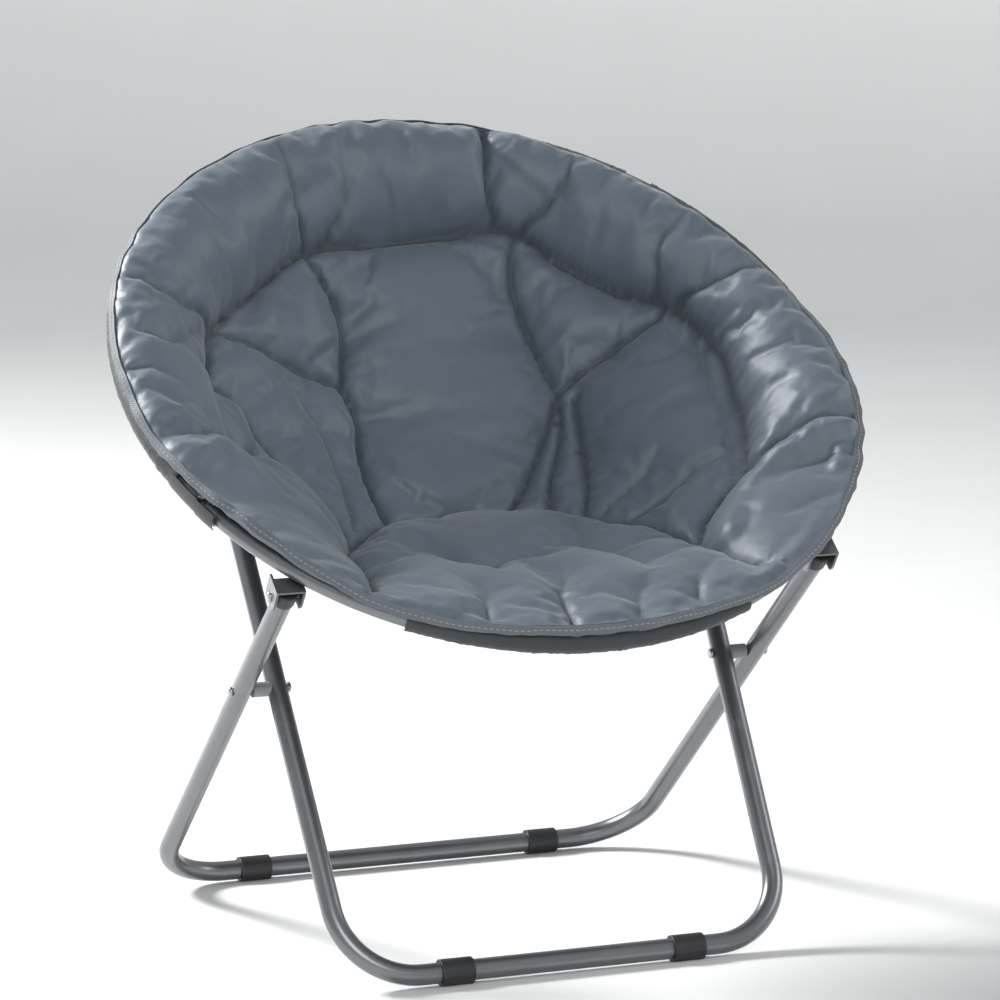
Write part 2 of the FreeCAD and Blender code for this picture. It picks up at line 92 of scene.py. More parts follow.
def curve_through(points: tuple[Point, ...], step: float) -> np.ndarray:
    """A smooth line through points, sampled at even steps.

    Args:
        points: Points that the line passes.
        step: Distance from one sample to the next, in the points' unit.

    Returns:
        The samples, with the first and last point among them.
    """
    knots = np.array(points, float)
    padded = np.vstack([2 * knots[0] - knots[1], knots, 2 * knots[-1] - knots[-2]])
    samples = [knots[:1]]
    for index in range(len(knots) - 1):
        before, start, end, after = padded[index:index + 4]
        count = max(2, int(np.linalg.norm(end - start) / step))
        t = (np.arange(1, count + 1) / count)[:, None]
        samples.append(0.5 * (2 * start + (end - before) * t
                              + (2 * before - 5 * start + 4 * end - after) * t ** 2
                              + (3 * start - before - 3 * end + after) * t ** 3))
    return np.vstack(samples)


def wander(angle: np.ndarray, seed: int, slow: int, fast: int) -> np.ndarray:
    """A smooth random wave round the hoop.

    Args:
        angle: Angles round the hoop, in degrees.
        seed: Seed of its phases.
        slow: Waves to the turn of its slowest part.
        fast: Waves to the turn of its fastest part.

    Returns:
        Values from about -1 to 1.
    """
    random = np.random.default_rng(seed)
    turn = np.radians(angle)
    total = np.zeros(np.shape(angle))
    for count in np.linspace(slow, fast, 9).astype(int):
        total = total + random.uniform(0.5, 1) * np.sin(count * turn + random.uniform(0, 2 * math.pi))
    return total / 3


def mesh_object(name: str, points: np.ndarray, faces: list, smooth: bool = True) -> bpy.types.Object:
    """A mesh object in the scene.

    Args:
        name: Name of the piece.
        points: Its vertices, in metres.
        faces: Vertex numbers of each face.
        smooth: Whether it is shaded smooth.

    Returns:
        The new object.
    """
    mesh = bpy.data.meshes.new(name)
    mesh.from_pydata(np.asarray(points, float).tolist(), [], [tuple(map(int, face)) for face in faces])
    mesh.validate()
    mesh.shade_smooth() if smooth else mesh.shade_flat()
    made = bpy.data.objects.new(name, mesh)
    bpy.context.scene.collection.objects.link(made)
    return made


def closed_object(name: str, points: np.ndarray, faces: list, weave: np.ndarray) -> bpy.types.Object:
    """A closed mesh with its faces outward, sharp corners and the directions of its weave.

    Args:
        name: Name of the piece.
        points: Its vertices, in metres.
        faces: Vertex numbers of each face.
        weave: Place of each vertex along and across the cloth, in metres.

    Returns:
        The new object.
    """
    made = mesh_object(name, points, faces)
    shape = bmesh.new()
    shape.from_mesh(made.data)
    bmesh.ops.recalc_face_normals(shape, faces=shape.faces)
    shape.to_mesh(made.data)
    shape.free()
    made.data.set_sharp_from_angle(angle=math.radians(48))
    mark_weave(made, weave)
    return made


def mark_weave(piece: bpy.types.Object, weave: np.ndarray) -> None:
    """Stores the directions of the weave, and the share of a crease, at each point."""
    mark = piece.data.attributes.new("cloth", "FLOAT_VECTOR", "POINT")
    mark.data.foreach_set("vector", np.ascontiguousarray(weave, np.float32).ravel())


def grid_faces(rows: int, columns: int, wrap_rows: bool = False) -> list:
    """Faces of a grid whose columns close on themselves.

    Args:
        rows: Number of rings of points.
        columns: Points in each ring.
        wrap_rows: Whether the last ring joins the first.

    Returns:
        Vertex numbers of each face.
    """
    faces = []
    for row in range(rows if wrap_rows else rows - 1):
        for column in range(columns):
            after, beside = (row + 1) % rows, (column + 1) % columns
            faces.append((row * columns + column, row * columns + beside,
                          after * columns + beside, after * columns + column))
    return faces


def capped_faces(rows: int, columns: int) -> list:
    """Faces of a tube of rings, with one more face over each end.

    Args:
        rows: Number of rings of points.
        columns: Points in each ring.

    Returns:
        Vertex numbers of each face.
    """
    ends = [tuple(range(columns)), tuple((rows - 1) * columns + np.arange(columns)[::-1])]
    return grid_faces(rows, columns) + ends


@dataclass(frozen=True)
class Hoop:
    """The round hoop, in its own plane: x across, s up the slope and n square to it."""

    radius: float = 395 * MM
    tube_radius: float = 9.5 * MM
    tilt: float = math.radians(37)
    centre_y: float = 5.5 * MM
    centre_z: float = 601 * MM
    hinge_station: float = -167 * MM
    hinge_height: float = 12.5 * MM
    flat_height: float = 10 * MM

    def place(self, points: np.ndarray) -> np.ndarray:
        """Points of the hoop's plane (x, s, n) in the chair's frame."""
        points = np.asarray(points, float)
        x, s, n = points[..., 0], points[..., 1], points[..., 2]
        y = self.centre_y + s * math.cos(self.tilt) - n * math.sin(self.tilt)
        z = self.centre_z + s * math.sin(self.tilt) + n * math.cos(self.tilt)
        return np.stack([x, y, z], axis=-1)

    def up(self) -> Vector:
        """Direction square to the hoop's plane, in the chair's frame."""
        return Vector((0, -math.sin(self.tilt), math.cos(self.tilt)))

    def hinge_angle(self) -> float:
        """Angle of the hinges from +X, in degrees."""
        return math.degrees(math.asin(self.hinge_station / self.radius))

    def fold_anchor(self) -> Vector:
        """A point under the hinge line, on the plane that the cloth folds flat to, in the chair's frame."""
        return Vector(self.place(np.array([0, self.hinge_station, self.flat_height])))


class Value:
    """A socket that holds a number, with arithmetic that adds Math nodes."""

    def __init__(self, shader: "Shader", socket: bpy.types.NodeSocket) -> None:
        """Wraps one output socket of a shader."""
        self.shader = shader
        self.socket = socket

    def _math(self, operation: str, *inputs: "Value | float") -> "Value":
        """A Math node of these inputs."""
        return self.shader.node("ShaderNodeMath", {"operation": operation}, dict(enumerate(inputs)))

    def __add__(self, other: "Value | float") -> "Value":
        """Sum."""
        return self._math("ADD", self, other)

    def __radd__(self, other: float) -> "Value":
        """Sum with a number on the left."""
        return self._math("ADD", other, self)

    def __sub__(self, other: "Value | float") -> "Value":
        """Difference."""
        return self._math("SUBTRACT", self, other)

    def __rsub__(self, other: float) -> "Value":
        """Difference from a number."""
        return self._math("SUBTRACT", other, self)

    def __mul__(self, other: "Value | float") -> "Value":
        """Product."""
        return self._math("MULTIPLY", self, other)

    def __rmul__(self, other: float) -> "Value":
        """Product with a number on the left."""
        return self._math("MULTIPLY", other, self)

    def wave(self) -> "Value":
        """Sine of the value."""
        return self._math("SINE", self)


class Shader:
    """A material's node tree, with one method that adds nodes to it."""

    def __init__(self, name: str) -> None:
        """Makes a material with only its output node.

        Args:
            name: Name of the material.
        """
        self.material = bpy.data.materials.new(name)
        self.material.use_nodes = True
        self.tree = self.material.node_tree
        self.tree.nodes.clear()
        self.end = self.tree.nodes.new("ShaderNodeOutputMaterial")

    def node(self, kind: str, settings: dict | None = None, inputs: dict | None = None,
             output: str | int = 0) -> Value:
        """Adds a node.

        Args:
            kind: The node's type.
            settings: Its own settings, set first. A ramp's stops are given as "stops".
            inputs: A value or a link for each socket, by name or number.
            output: The socket to return, by name or number.

        Returns:
            The chosen output socket.
        """
        made = self.tree.nodes.new(kind)
        for key, value in (settings or {}).items():
            if key == "stops":
                self._fill_ramp(made.color_ramp, value)
            else:
                setattr(made, key, value)
        for key, value in (inputs or {}).items():
            if isinstance(value, Value):
                self.tree.links.new(value.socket, made.inputs[key])
            else:
                made.inputs[key].default_value = value
        return Value(self, made.outputs[output])

    @staticmethod
    def _fill_ramp(ramp: bpy.types.ColorRamp, stops: tuple) -> None:
        """Sets the stops of a colour ramp from pairs of place and grey level."""
        while len(ramp.elements) < len(stops):
            ramp.elements.new(1.0)
        for element, (place, level) in zip(ramp.elements, stops):
            element.position = place
            element.color = (level, level, level, 1.0)

    def place(self) -> Value:
        """Place on the object, in metres."""
        return self.node("ShaderNodeTexCoord", output="Object")

    def part(self, vector: Value, index: int) -> Value:
        """One of a vector's three numbers."""
        return self.node("ShaderNodeSeparateXYZ", {}, {0: vector}, index)

    def noise(self, where: Value, scale: float, detail: float = 3.0, roughness: float = 0.5) -> Value:
        """Soft noise from 0 to 1.

        Args:
            where: Coordinates.
            scale: Features to the metre.
            detail: Octaves.
            roughness: Weight of the finer octaves.

        Returns:
            The noise value.
        """
        inputs = {"Vector": where, "Scale": scale, "Detail": detail, "Roughness": roughness}
        return self.node("ShaderNodeTexNoise", {}, inputs, "Fac")

    def ramp(self, value: Value, *stops: Point) -> Value:
        """A value run through straight stretches between stops."""
        return self.node("ShaderNodeValToRGB", {"stops": stops}, {"Fac": value})

    def blend(self, share: Value, first: tuple | Value, second: tuple) -> Value:
        """A colour between two, by a share from 0 to 1."""
        start = first if isinstance(first, Value) else (*first, 1.0)
        inputs = {"Factor": share, 6: start, 7: (*second, 1.0)}
        return self.node("ShaderNodeMix", {"data_type": "RGBA"}, inputs, 2)

    def bump(self, height: Value, depth: float, strength: float = 1.0) -> Value:
        """A normal from a height, where 1 stands depth metres proud."""
        inputs = {"Height": height, "Distance": depth, "Strength": strength}
        return self.node("ShaderNodeBump", {}, inputs, "Normal")

    def surface(self, **inputs: Value | float | tuple) -> bpy.types.Material:
        """Ends the material in a Principled shader.

        Args:
            inputs: Its sockets by name, with _ for a space.

        Returns:
            The finished material.
        """
        named = {key.replace("_", " "): value for key, value in inputs.items()}
        shader = self.node("ShaderNodeBsdfPrincipled", {}, named)
        self.tree.links.new(shader.socket, self.end.inputs["Surface"])
        return self.material


@dataclass(frozen=True)
class CoatedCloth:
    """Coated polyester of plain weave, with a soft satin sheen and painted shade darkening its creases."""

    name: str
    dark: tuple[float, float, float]
    light: tuple[float, float, float]
    thread: float = 0.9 * MM
    thread_depth: float = 0.10 * MM
    crumple_depth: float = 0.9 * MM
    # Darkness of the painted shade at the bottom of a crease, as a share of the dark colour.
    crease_shade_level: float = 0.3
    roughness: float = 0.40
    sheen: float = 0.25

    def weave(self, shader: Shader) -> tuple[Value, Value]:
        """Height of the crossing threads, from 0 to 1, and the share of a crease, from 0 to 1."""
        cloth = shader.node("ShaderNodeAttribute", {"attribute_name": "cloth"}, output="Vector")
        turn = math.pi / self.thread
        across = (shader.part(cloth, 0) * turn).wave()
        along = (shader.part(cloth, 1) * turn).wave()
        return across * along * 0.5 + 0.5, shader.part(cloth, 2)

    def build(self) -> bpy.types.Material:
        """Makes the material.

        Returns:
            The material.
        """
        shader = Shader(self.name)
        where = shader.place()
        weave, crease = self.weave(shader)
        clouds = shader.noise(where, 9, 4, 0.6)
        slubs = shader.noise(where, 420, 2, 0.6)
        crumple = shader.noise(where, 46, 3, 0.55)
        shade = clouds * 0.7 + slubs * 0.25 + weave * 0.25 - 0.1
        # Painted shade: the colour darkens towards this near-black along the creases, standing in for the
        # shadow in the folds.
        deep = tuple(level * self.crease_shade_level for level in self.dark)
        height = weave * (self.thread_depth / self.crumple_depth) + crumple + slubs * 0.08
        return shader.surface(
            Base_Color=shader.blend(crease * 0.85, shader.blend(shade, self.dark, self.light), deep),
            Roughness=self.roughness - 0.1 + clouds * 0.12 + weave * 0.08 + crease * 0.3,
            Normal=shader.bump(height, self.crumple_depth),
            Sheen_Weight=self.sheen,
            Sheen_Roughness=0.45,
            Specular_IOR_Level=0.5,
        )


@dataclass(frozen=True)
class SewingThread:
    """Twisted thread."""

    name: str
    dark: tuple[float, float, float]
    light: tuple[float, float, float]

    def build(self) -> bpy.types.Material:
        """Makes the material.

        Returns:
            The material.
        """
        shader = Shader(self.name)
        twist = shader.noise(shader.place(), 900, 2)
        return shader.surface(
            Base_Color=shader.blend(twist, self.dark, self.light),
            Roughness=0.5 + twist * 0.2,
            Normal=shader.bump(twist, 0.1 * MM),
            Sheen_Weight=0.2,
        )


@dataclass(frozen=True)
class MetallicPaint:
    """Powder paint with fine metal flakes, over steel tube."""

    name: str
    dark: tuple[float, float, float]
    light: tuple[float, float, float]
    roughness: float = 0.3
    metallic: float = 0.8

    def build(self) -> bpy.types.Material:
        """Makes the material.

        Returns:
            The material.
        """
        shader = Shader(self.name)
        where = shader.place()
        flakes = shader.noise(where, 2200, 1, 0.4)
        grain = shader.noise(where, 420, 2, 0.5)
        wear = shader.noise(where, 24, 5, 0.65)
        scuffs = shader.ramp(wear, (0.58, 0.0), (0.72, 1.0))
        shade = flakes * 0.7 + wear * 0.4 - 0.1
        return shader.surface(
            Base_Color=shader.blend(shade, self.dark, self.light),
            Metallic=self.metallic,
            Roughness=self.roughness + scuffs * 0.12 + grain * 0.06,
            Coat_Weight=0.35 - scuffs * 0.25,
            Coat_Roughness=0.18,
            Normal=shader.bump(grain + flakes * 0.3, 0.06 * MM),
        )


@dataclass(frozen=True)
class BrushedSteel:
    """Plated steel of fasteners, with turned marks."""

    name: str
    dark: tuple[float, float, float]
    light: tuple[float, float, float]

    def build(self) -> bpy.types.Material:
        """Makes the material.

        Returns:
            The material.
        """
        shader = Shader(self.name)
        where = shader.place()
        marks = shader.noise(where, 1500, 3, 0.7)
        tarnish = shader.noise(where, 130, 4, 0.6)
        return shader.surface(
            Base_Color=shader.blend(tarnish * 0.6 + marks * 0.4, self.dark, self.light),
            Metallic=1.0,
            Roughness=0.24 + tarnish * 0.2,
            Normal=shader.bump(marks, 0.03 * MM),
        )


@dataclass(frozen=True)
class MouldedPlastic:
    """Moulded plastic with a fine eroded grain."""

    name: str
    dark: tuple[float, float, float]
    light: tuple[float, float, float]

    def build(self) -> bpy.types.Material:
        """Makes the material.

        Returns:
            The material.
        """
        shader = Shader(self.name)
        where = shader.place()
        grain = shader.noise(where, 1600, 2, 0.6)
        rub = shader.noise(where, 60, 4, 0.6)
        return shader.surface(
            Base_Color=shader.blend(rub, self.dark, self.light),
            Roughness=0.38 + rub * 0.2,
            Normal=shader.bump(grain, 0.06 * MM),
        )


class Finishes:
    """Every finish of the chair, made once."""

    def __init__(self) -> None:
        """Makes the materials."""
        self.seat_cloth = CoatedCloth("seat_cloth", (0.08, 0.105, 0.13), (0.128, 0.16, 0.192)).build()
        self.base_cloth = CoatedCloth("base_cloth", (0.022, 0.025, 0.03), (0.045, 0.05, 0.057),
                                      roughness=0.6, sheen=0.15).build()
        self.tape = CoatedCloth("binding_tape", (0.075, 0.09, 0.105), (0.13, 0.15, 0.17), thread=1.4 * MM,
                                thread_depth=0.25 * MM, crumple_depth=0.5 * MM, roughness=0.55).build()
        self.thread = SewingThread("sewing_thread", (0.20, 0.22, 0.24), (0.42, 0.44, 0.46)).build()
        paint = MetallicPaint("frame_paint", (0.13, 0.135, 0.145), (0.27, 0.28, 0.295))
        steel = BrushedSteel("fastener_steel", (0.30, 0.30, 0.31), (0.52, 0.52, 0.53))
        black = MouldedPlastic("black_plastic", (0.012, 0.012, 0.014), (0.03, 0.03, 0.032))
        grey = MouldedPlastic("grey_plastic", (0.20, 0.21, 0.22), (0.30, 0.31, 0.32))
        self.slots = {
            Slot.FRAME_PAINT: paint.build(),
            Slot.FASTENER_STEEL: steel.build(),
            Slot.BLACK_PLASTIC: black.build(),
            Slot.GREY_PLASTIC: grey.build(),
            Slot.SEAT_CLOTH: self.seat_cloth,
            Slot.BASE_CLOTH: self.base_cloth,
            Slot.BINDING_TAPE: self.tape,
        }

    def dress_frame(self) -> None:
        """Gives each node of the frame the finish of its own material slot."""
        for name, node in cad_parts.items():
            for holder in node.material_slots:
                slot = holder.material.name.split(".")[0]
                holder.material = self.slots[Slot(slot)]
            log.info("frame node %s dressed", name)


@dataclass(frozen=True)
class Crease:
    """A line where the padding is drawn down, through points in millimetres of the hoop's plane."""

    points: tuple[Point, ...]
    depth: float
    width: float = 16
    held: float = 1.0
    start_share: float = 1.0
    end_share: float = 1.0

    def measure(self, x: np.ndarray, s: np.ndarray) -> tuple[np.ndarray, np.ndarray]:
        """How far places are from the line and how deep the line is there.

        Args:
            x: Places across, in metres.
            s: Places up the slope, in metres.

        Returns:
            Distances, and depths of the nearest point of the line, both in metres.
        """
        line = curve_through(self.points, 12) * MM
        shares = np.linspace(self.start_share, self.end_share, len(line))
        nearest = np.full(x.shape, 1e9)
        depth = np.zeros(x.shape)
        for index in range(len(line) - 1):
            start, along = line[index], line[index + 1] - line[index]
            t = ((x - start[0]) * along[0] + (s - start[1]) * along[1]) / (along @ along)
            t = np.clip(t, 0, 1)
            distance = np.hypot(x - start[0] - t * along[0], s - start[1] - t * along[1])
            share = shares[index] + t * (shares[index + 1] - shares[index])
            depth = np.where(distance < nearest, share * self.depth * MM, depth)
            nearest = np.minimum(nearest, distance)
        return nearest, depth


PANEL_SEAM = Crease(
    ((-283, 70), (-255, 150), (-195, 212), (-115, 270), (-25, 286), (60, 287), (130, 270), (200, 212),
     (270, 135), (300, 60), (302, 0), (295, -60), (272, -128)), 20, 15)
TUFT_LEFT = (-95, 135)
TUFT_RIGHT = (150, 98)
CREASES = (
    PANEL_SEAM,
    Crease(((-115, 270), (-88, 225), (-84, 190), TUFT_LEFT), 13, 13),
    Crease(((-255, 150), (-195, 152), (-145, 142), TUFT_LEFT), 12, 14),
    Crease((TUFT_LEFT, (-84, 100), (-92, 60), (-95, 0), (-90, -52)), 14, 15),
    Crease(((-283, 70), (-245, 70), (-222, 25), (-190, -25), (-166, -70), (-160, -130)), 15, 18),
    Crease(((-165, 120), (-138, 60), (-132, -15), (-145, -90)), 9, 16, 0.6, 0.4, 1.0),
    Crease(((130, 270), (122, 225), (132, 170), TUFT_RIGHT), 13, 13),
    Crease(((270, 135), (215, 122), (180, 112), TUFT_RIGHT), 13, 13),
    Crease((TUFT_RIGHT, (118, 45), (75, -20), (50, -45)), 13, 14, 0.8),
    Crease(((148, 85), (136, 40), (112, -10), (95, -62)), 12, 10, 0.7),
    Crease(((165, 85), (157, 30), (146, -30), (120, -95)), 13, 13, 0.8),
    Crease(((285, 90), (291, 35), (285, -5)), 7, 18, 0.3, 1.0, 0.2),
    Crease(((236, -84), (205, -100), (165, -112), (135, -118)), 12, 14, 0.6, 0.5, 1.0),
    Crease(((200, -55), (160, -75), (130, -95)), 9, 11, 0.5, 0.3, 1.0),
    Crease(((-166, -130), (-130, -92), (-100, -66), (-50, -46), (0, -38), (50, -46), (100, -66),
            (135, -97), (166, -132), (186, -178), (195, -232), (212, -290), (231, -322)), 16, 13),
    Crease(((-166, -130), (-186, -178), (-192, -232), (-208, -290), (-230, -324)), 13, 14),
    Crease(((-395, -92), (-350, -86), (-315, -62), (-272, -25), (-245, -8)), 10, 16, 0.7, 0.4, 1.0),
    Crease(((398, -128), (345, -118), (295, -122), (262, -132), (222, -165), (196, -205)),
           15, 14, 0.8, 0.5, 1.0),
    Crease(((-115, 270), (-126, 292), (-134, 318), (-140, 350)), 17, 12, 0.6, 1.0, 0.1),
    Crease(((-115, 270), (-88, 284), (-66, 306), (-72, 340)), 14, 11, 0.6, 1.0, 0.1),
    Crease(((118, 276), (104, 292), (102, 320), (108, 362), (112, 386)), 15, 8, 0.8),
    Crease(((130, 270), (160, 272), (182, 286), (196, 310)), 14, 11, 0.5, 1.0, 0.2),
    Crease(((270, 135), (262, 162), (266, 186), (280, 210)), 13, 11, 0.5, 1.0, 0.1),
    Crease(((270, 135), (305, 122), (346, 124), (372, 130)), 13, 12, 0.5, 1.0, 0.3),
    Crease(((292, 95), (318, 55), (340, 52)), 8, 12, 0.4, 1.0, 0.1),
    Crease(((-255, 150), (-290, 138), (-322, 133), (-360, 150)), 13, 12, 0.5, 1.0, 0.4),
    Crease(((-262, 138), (-300, 100), (-336, 62), (-366, 66)), 9, 13, 0.4, 0.6, 0.6),
    Crease(((-398, 12), (-375, 10), (-345, -5)), 7, 12, 0.4, 1.0, 0.1),
    Crease(((-28, -398), (-22, -368), (-12, -318), (5, -285)), 11, 12, 0.5, 1.0, 0.2),
    Crease(((44, -396), (50, -372), (68, -330)), 9, 11, 0.5, 1.0, 0.2),
    Crease(((112, -384), (124, -350), (138, -318)), 9, 12, 0.4, 1.0, 0.2),
    Crease(((-118, -386), (-108, -350), (-96, -318)), 8, 12, 0.4, 1.0, 0.2),
    Crease(((-85, -195), (-60, -230), (-25, -215), (5, -212)), 6, 14, 0.3, 0.6, 1.0),
    Crease(((60, -190), (95, -225), (110, -262)), 7, 15, 0.3, 1.0, 0.4),
    Crease(((385, -195), (340, -170), (305, -168)), 8, 10, 0.4, 1.0, 0.2),
    Crease(((360, -232), (310, -230), (270, -240)), 5, 12, 0.2, 1.0, 0.2),
)
WING_RIDGE = Crease(((392, -150), (345, -138), (300, -142), (270, -153), (238, -184), (214, -224)), 13, 15)


@dataclass(frozen=True)
class CoverShape:
    """Upper and lower surface of the padded cover over the hoop's plane."""

    hoop: Hoop
    seam_radius: float = 294 * MM
    seam_height: float = -48 * MM
    centre_height: float = -176 * MM
    dish_power: float = 1.9
    band_crown: float = 34 * MM
    wing_crown: float = 5 * MM
    seat_back: float = -40 * MM
    seat_rise: float = 10 * MM
    seat_half_width: float = 190 * MM
    under_clearance: float = 13.0 * MM
    rim_angles: tuple[float, ...] = (-180, -168, -155, -146, -136, -125, -117, -105, -90, -72, -60, -45, -30,
                                     -15, 0, 13, 25, 42, 60, 73, 83, 97, 115, 132, 145, 160, 180)
    rim_radii: tuple[float, ...] = (403, 403, 403, 402, 403, 405, 405, 402, 400, 403, 408, 407, 406,
                                    405, 400, 391, 387, 386, 387, 393, 392, 396, 398, 400, 402, 404, 403)
    rim_heights: tuple[float, ...] = (19, 18, 27, 34, 28, 19, 18, 22, 27, 25, 19, 19, 26,
                                      24, 19, 16, 15, 15, 15, 16, 17, 17, 17, 17, 18, 18, 19)
    rim_drops: tuple[float, ...] = (62, 60, 52, 45, 50, 58, 62, 66, 70, 64, 50, 25, 8,
                                    4, 12, 25, 22, 20, 25, 50, 60, 60, 60, 60, 60, 60, 62)
    least_padding: float = 3.5 * MM
    hinge_lift: float = 7.5 * MM
    hinge_room: float = 1.5 * MM
    hinge_reach: tuple[float, float] = (7.0, 3.5)
    wing_rise: tuple[float, float] = (-0.175, -0.105)
    seat_flare: float = 0.42
    seat_flare_start: float = -0.24
    seat_round: float = 1.25
    seat_round_length: float = 0.09
    seat_squareness: float = 3.5
    seat_sink: float = 0.02
    seat_fade: float = 0.03
    crease_fade: float = 0.012
    under_radii: tuple[float, ...] = (0, 60, 110, 165, 225, 285, 335, 366, 381)
    under_heights: tuple[float, ...] = (-221, -215.5, -201, -175.5, -137, -90.5, -48, -19, -4.6)

    def rim(self, angle: np.ndarray) -> tuple[np.ndarray, np.ndarray]:
        """The sewn edge of the cover.

        Args:
            angle: Angles from +X towards the back, in degrees.

        Returns:
            Radius and height of the edge there, in metres.
        """
        angle = (angle + 180) % 360 - 180
        radius = np.interp(angle, self.rim_angles, self.rim_radii) + 0.8 * wander(angle, 21, 18, 64)
        height = np.interp(angle, self.rim_angles, self.rim_heights) + 1.1 * wander(angle, 22, 18, 64)
        return radius * MM, height * MM

    def tape_drop(self, angle: np.ndarray) -> np.ndarray:
        """How far the binding tape turns down from the hoop's plane, in degrees."""
        angle = (angle + 180) % 360 - 180
        return np.interp(angle, self.rim_angles, self.rim_drops) + 8 * wander(angle, 23, 22, 60)

    def _dish(self, x: np.ndarray, s: np.ndarray) -> np.ndarray:
        """Puffed dish and outer band without the seat.

        Args:
            x: Places across, in metres.
            s: Places up the slope, in metres.

        Returns:
            Heights over the hoop's plane, in metres.
        """
        radius = np.hypot(x, s)
        rim_radius, rim_height = self.rim(np.degrees(np.arctan2(s, x)))
        inner = np.minimum(radius / self.seam_radius, 1)
        low = self.centre_height + (self.seam_height - self.centre_height) * inner ** self.dish_power
        out = np.clip((radius - self.seam_radius) / (rim_radius - self.seam_radius), 0, 1)
        crown = self.wing_crown + (self.band_crown - self.wing_crown) * smooth_step(*self.wing_rise, s)
        band = (rim_height - self.seam_height) * out + crown * (4 * out * (1 - out)) ** 0.75
        return low + band

    def _seat_width(self, s: np.ndarray) -> np.ndarray:
        """Half the width of the puffed seat at a place up the slope."""
        ahead = np.maximum(self.seat_back - s, 1e-6)
        flare = self.seat_flare * np.maximum(self.seat_flare_start - s, 0)
        rounding = np.tanh(self.seat_round * np.sqrt(ahead / self.seat_round_length))
        return self.seat_half_width * rounding + flare

    def top(self, x: np.ndarray, s: np.ndarray) -> np.ndarray:
        """Height of the puffed cover before its creases are drawn in.

        Args:
            x: Places across, in metres.
            s: Places up the slope, in metres.

        Returns:
            Heights over the hoop's plane, in metres.
        """
        dish = self._dish(x, s)
        width = self._seat_width(s)
        edge = self._dish(width, s)
        angle = np.degrees(np.arctan2(s, x))
        rim_radius, rim_height = self.rim(angle)
        front = np.sqrt(np.maximum(rim_radius ** 2 - x * x, 1e-6))
        run = np.clip((self.seat_back - s) / (self.seat_back + front), 0, 1)
        centre = self.centre_height + (rim_height - self.centre_height) * run
        centre = centre + 4 * self.seat_rise * run * (1 - run)
        side = np.clip(np.abs(x) / width, 0, 1)
        seat = edge + (centre - edge) * (1 - side ** self.seat_squareness)
        seat = np.where(side < 1, seat, dish)
        share = smooth_step(self.seat_fade, 0.0, rim_radius - np.hypot(x, s))
        seat = seat + share * (dish - seat)
        return np.where(s < self.seat_back, np.maximum(seat, dish - self.seat_sink), dish)

    def clear(self, x: np.ndarray, s: np.ndarray, height: np.ndarray) -> np.ndarray:
        """The height, kept clear of the padding's underside."""
        return np.maximum(height, self.bottom(x, s) + self.least_padding)

    def creased(self, x: np.ndarray, s: np.ndarray) -> np.ndarray:
        """Height of the puffed cover with every crease drawn in.

        Args:
            x: Places across, in metres.
            s: Places up the slope, in metres.

        Returns:
            Heights over the hoop's plane, in metres.
        """
        drawn = np.zeros(x.shape)
        for crease in CREASES:
            distance, depth = crease.measure(x, s)
            drawn = np.maximum(drawn, depth * np.exp(-distance / (crease.width * MM)))
        distance, lift = WING_RIDGE.measure(x, s)
        drawn -= lift * np.exp(-(distance / (WING_RIDGE.width * MM)) ** 2)
        rim_radius, _ = self.rim(np.degrees(np.arctan2(s, x)))
        near_rim = smooth_step(0.0, self.crease_fade, rim_radius - np.hypot(x, s))
        return self.clear(x, s, self.top(x, s) - drawn * near_rim)

    def bottom(self, x: np.ndarray, s: np.ndarray) -> np.ndarray:
        """Height of the padding's underside, which passes over the hoop and rests in the base cloth.

        Args:
            x: Places across, in metres.
            s: Places up the slope, in metres.

        Returns:
            Heights over the hoop's plane, in metres.
        """
        radius = np.hypot(x, s)
        dish = np.interp(radius, np.array(self.under_radii) * MM, np.array(self.under_heights) * MM)
        angle = np.degrees(np.arctan2(s, np.abs(x)))
        hinge = smooth_step(*self.hinge_reach, np.abs(angle - self.hoop.hinge_angle()))
        side = self.under_clearance + self.hinge_room * hinge
        top = self.under_clearance + self.hinge_lift * hinge
        power = 2 + 2 * hinge
        reach = np.clip((self.hoop.radius - radius) / side, 0, 1)
        over = top * (1 - reach ** power) ** (1 / power)
        return np.where(radius > self.hoop.radius - side, over, dish)


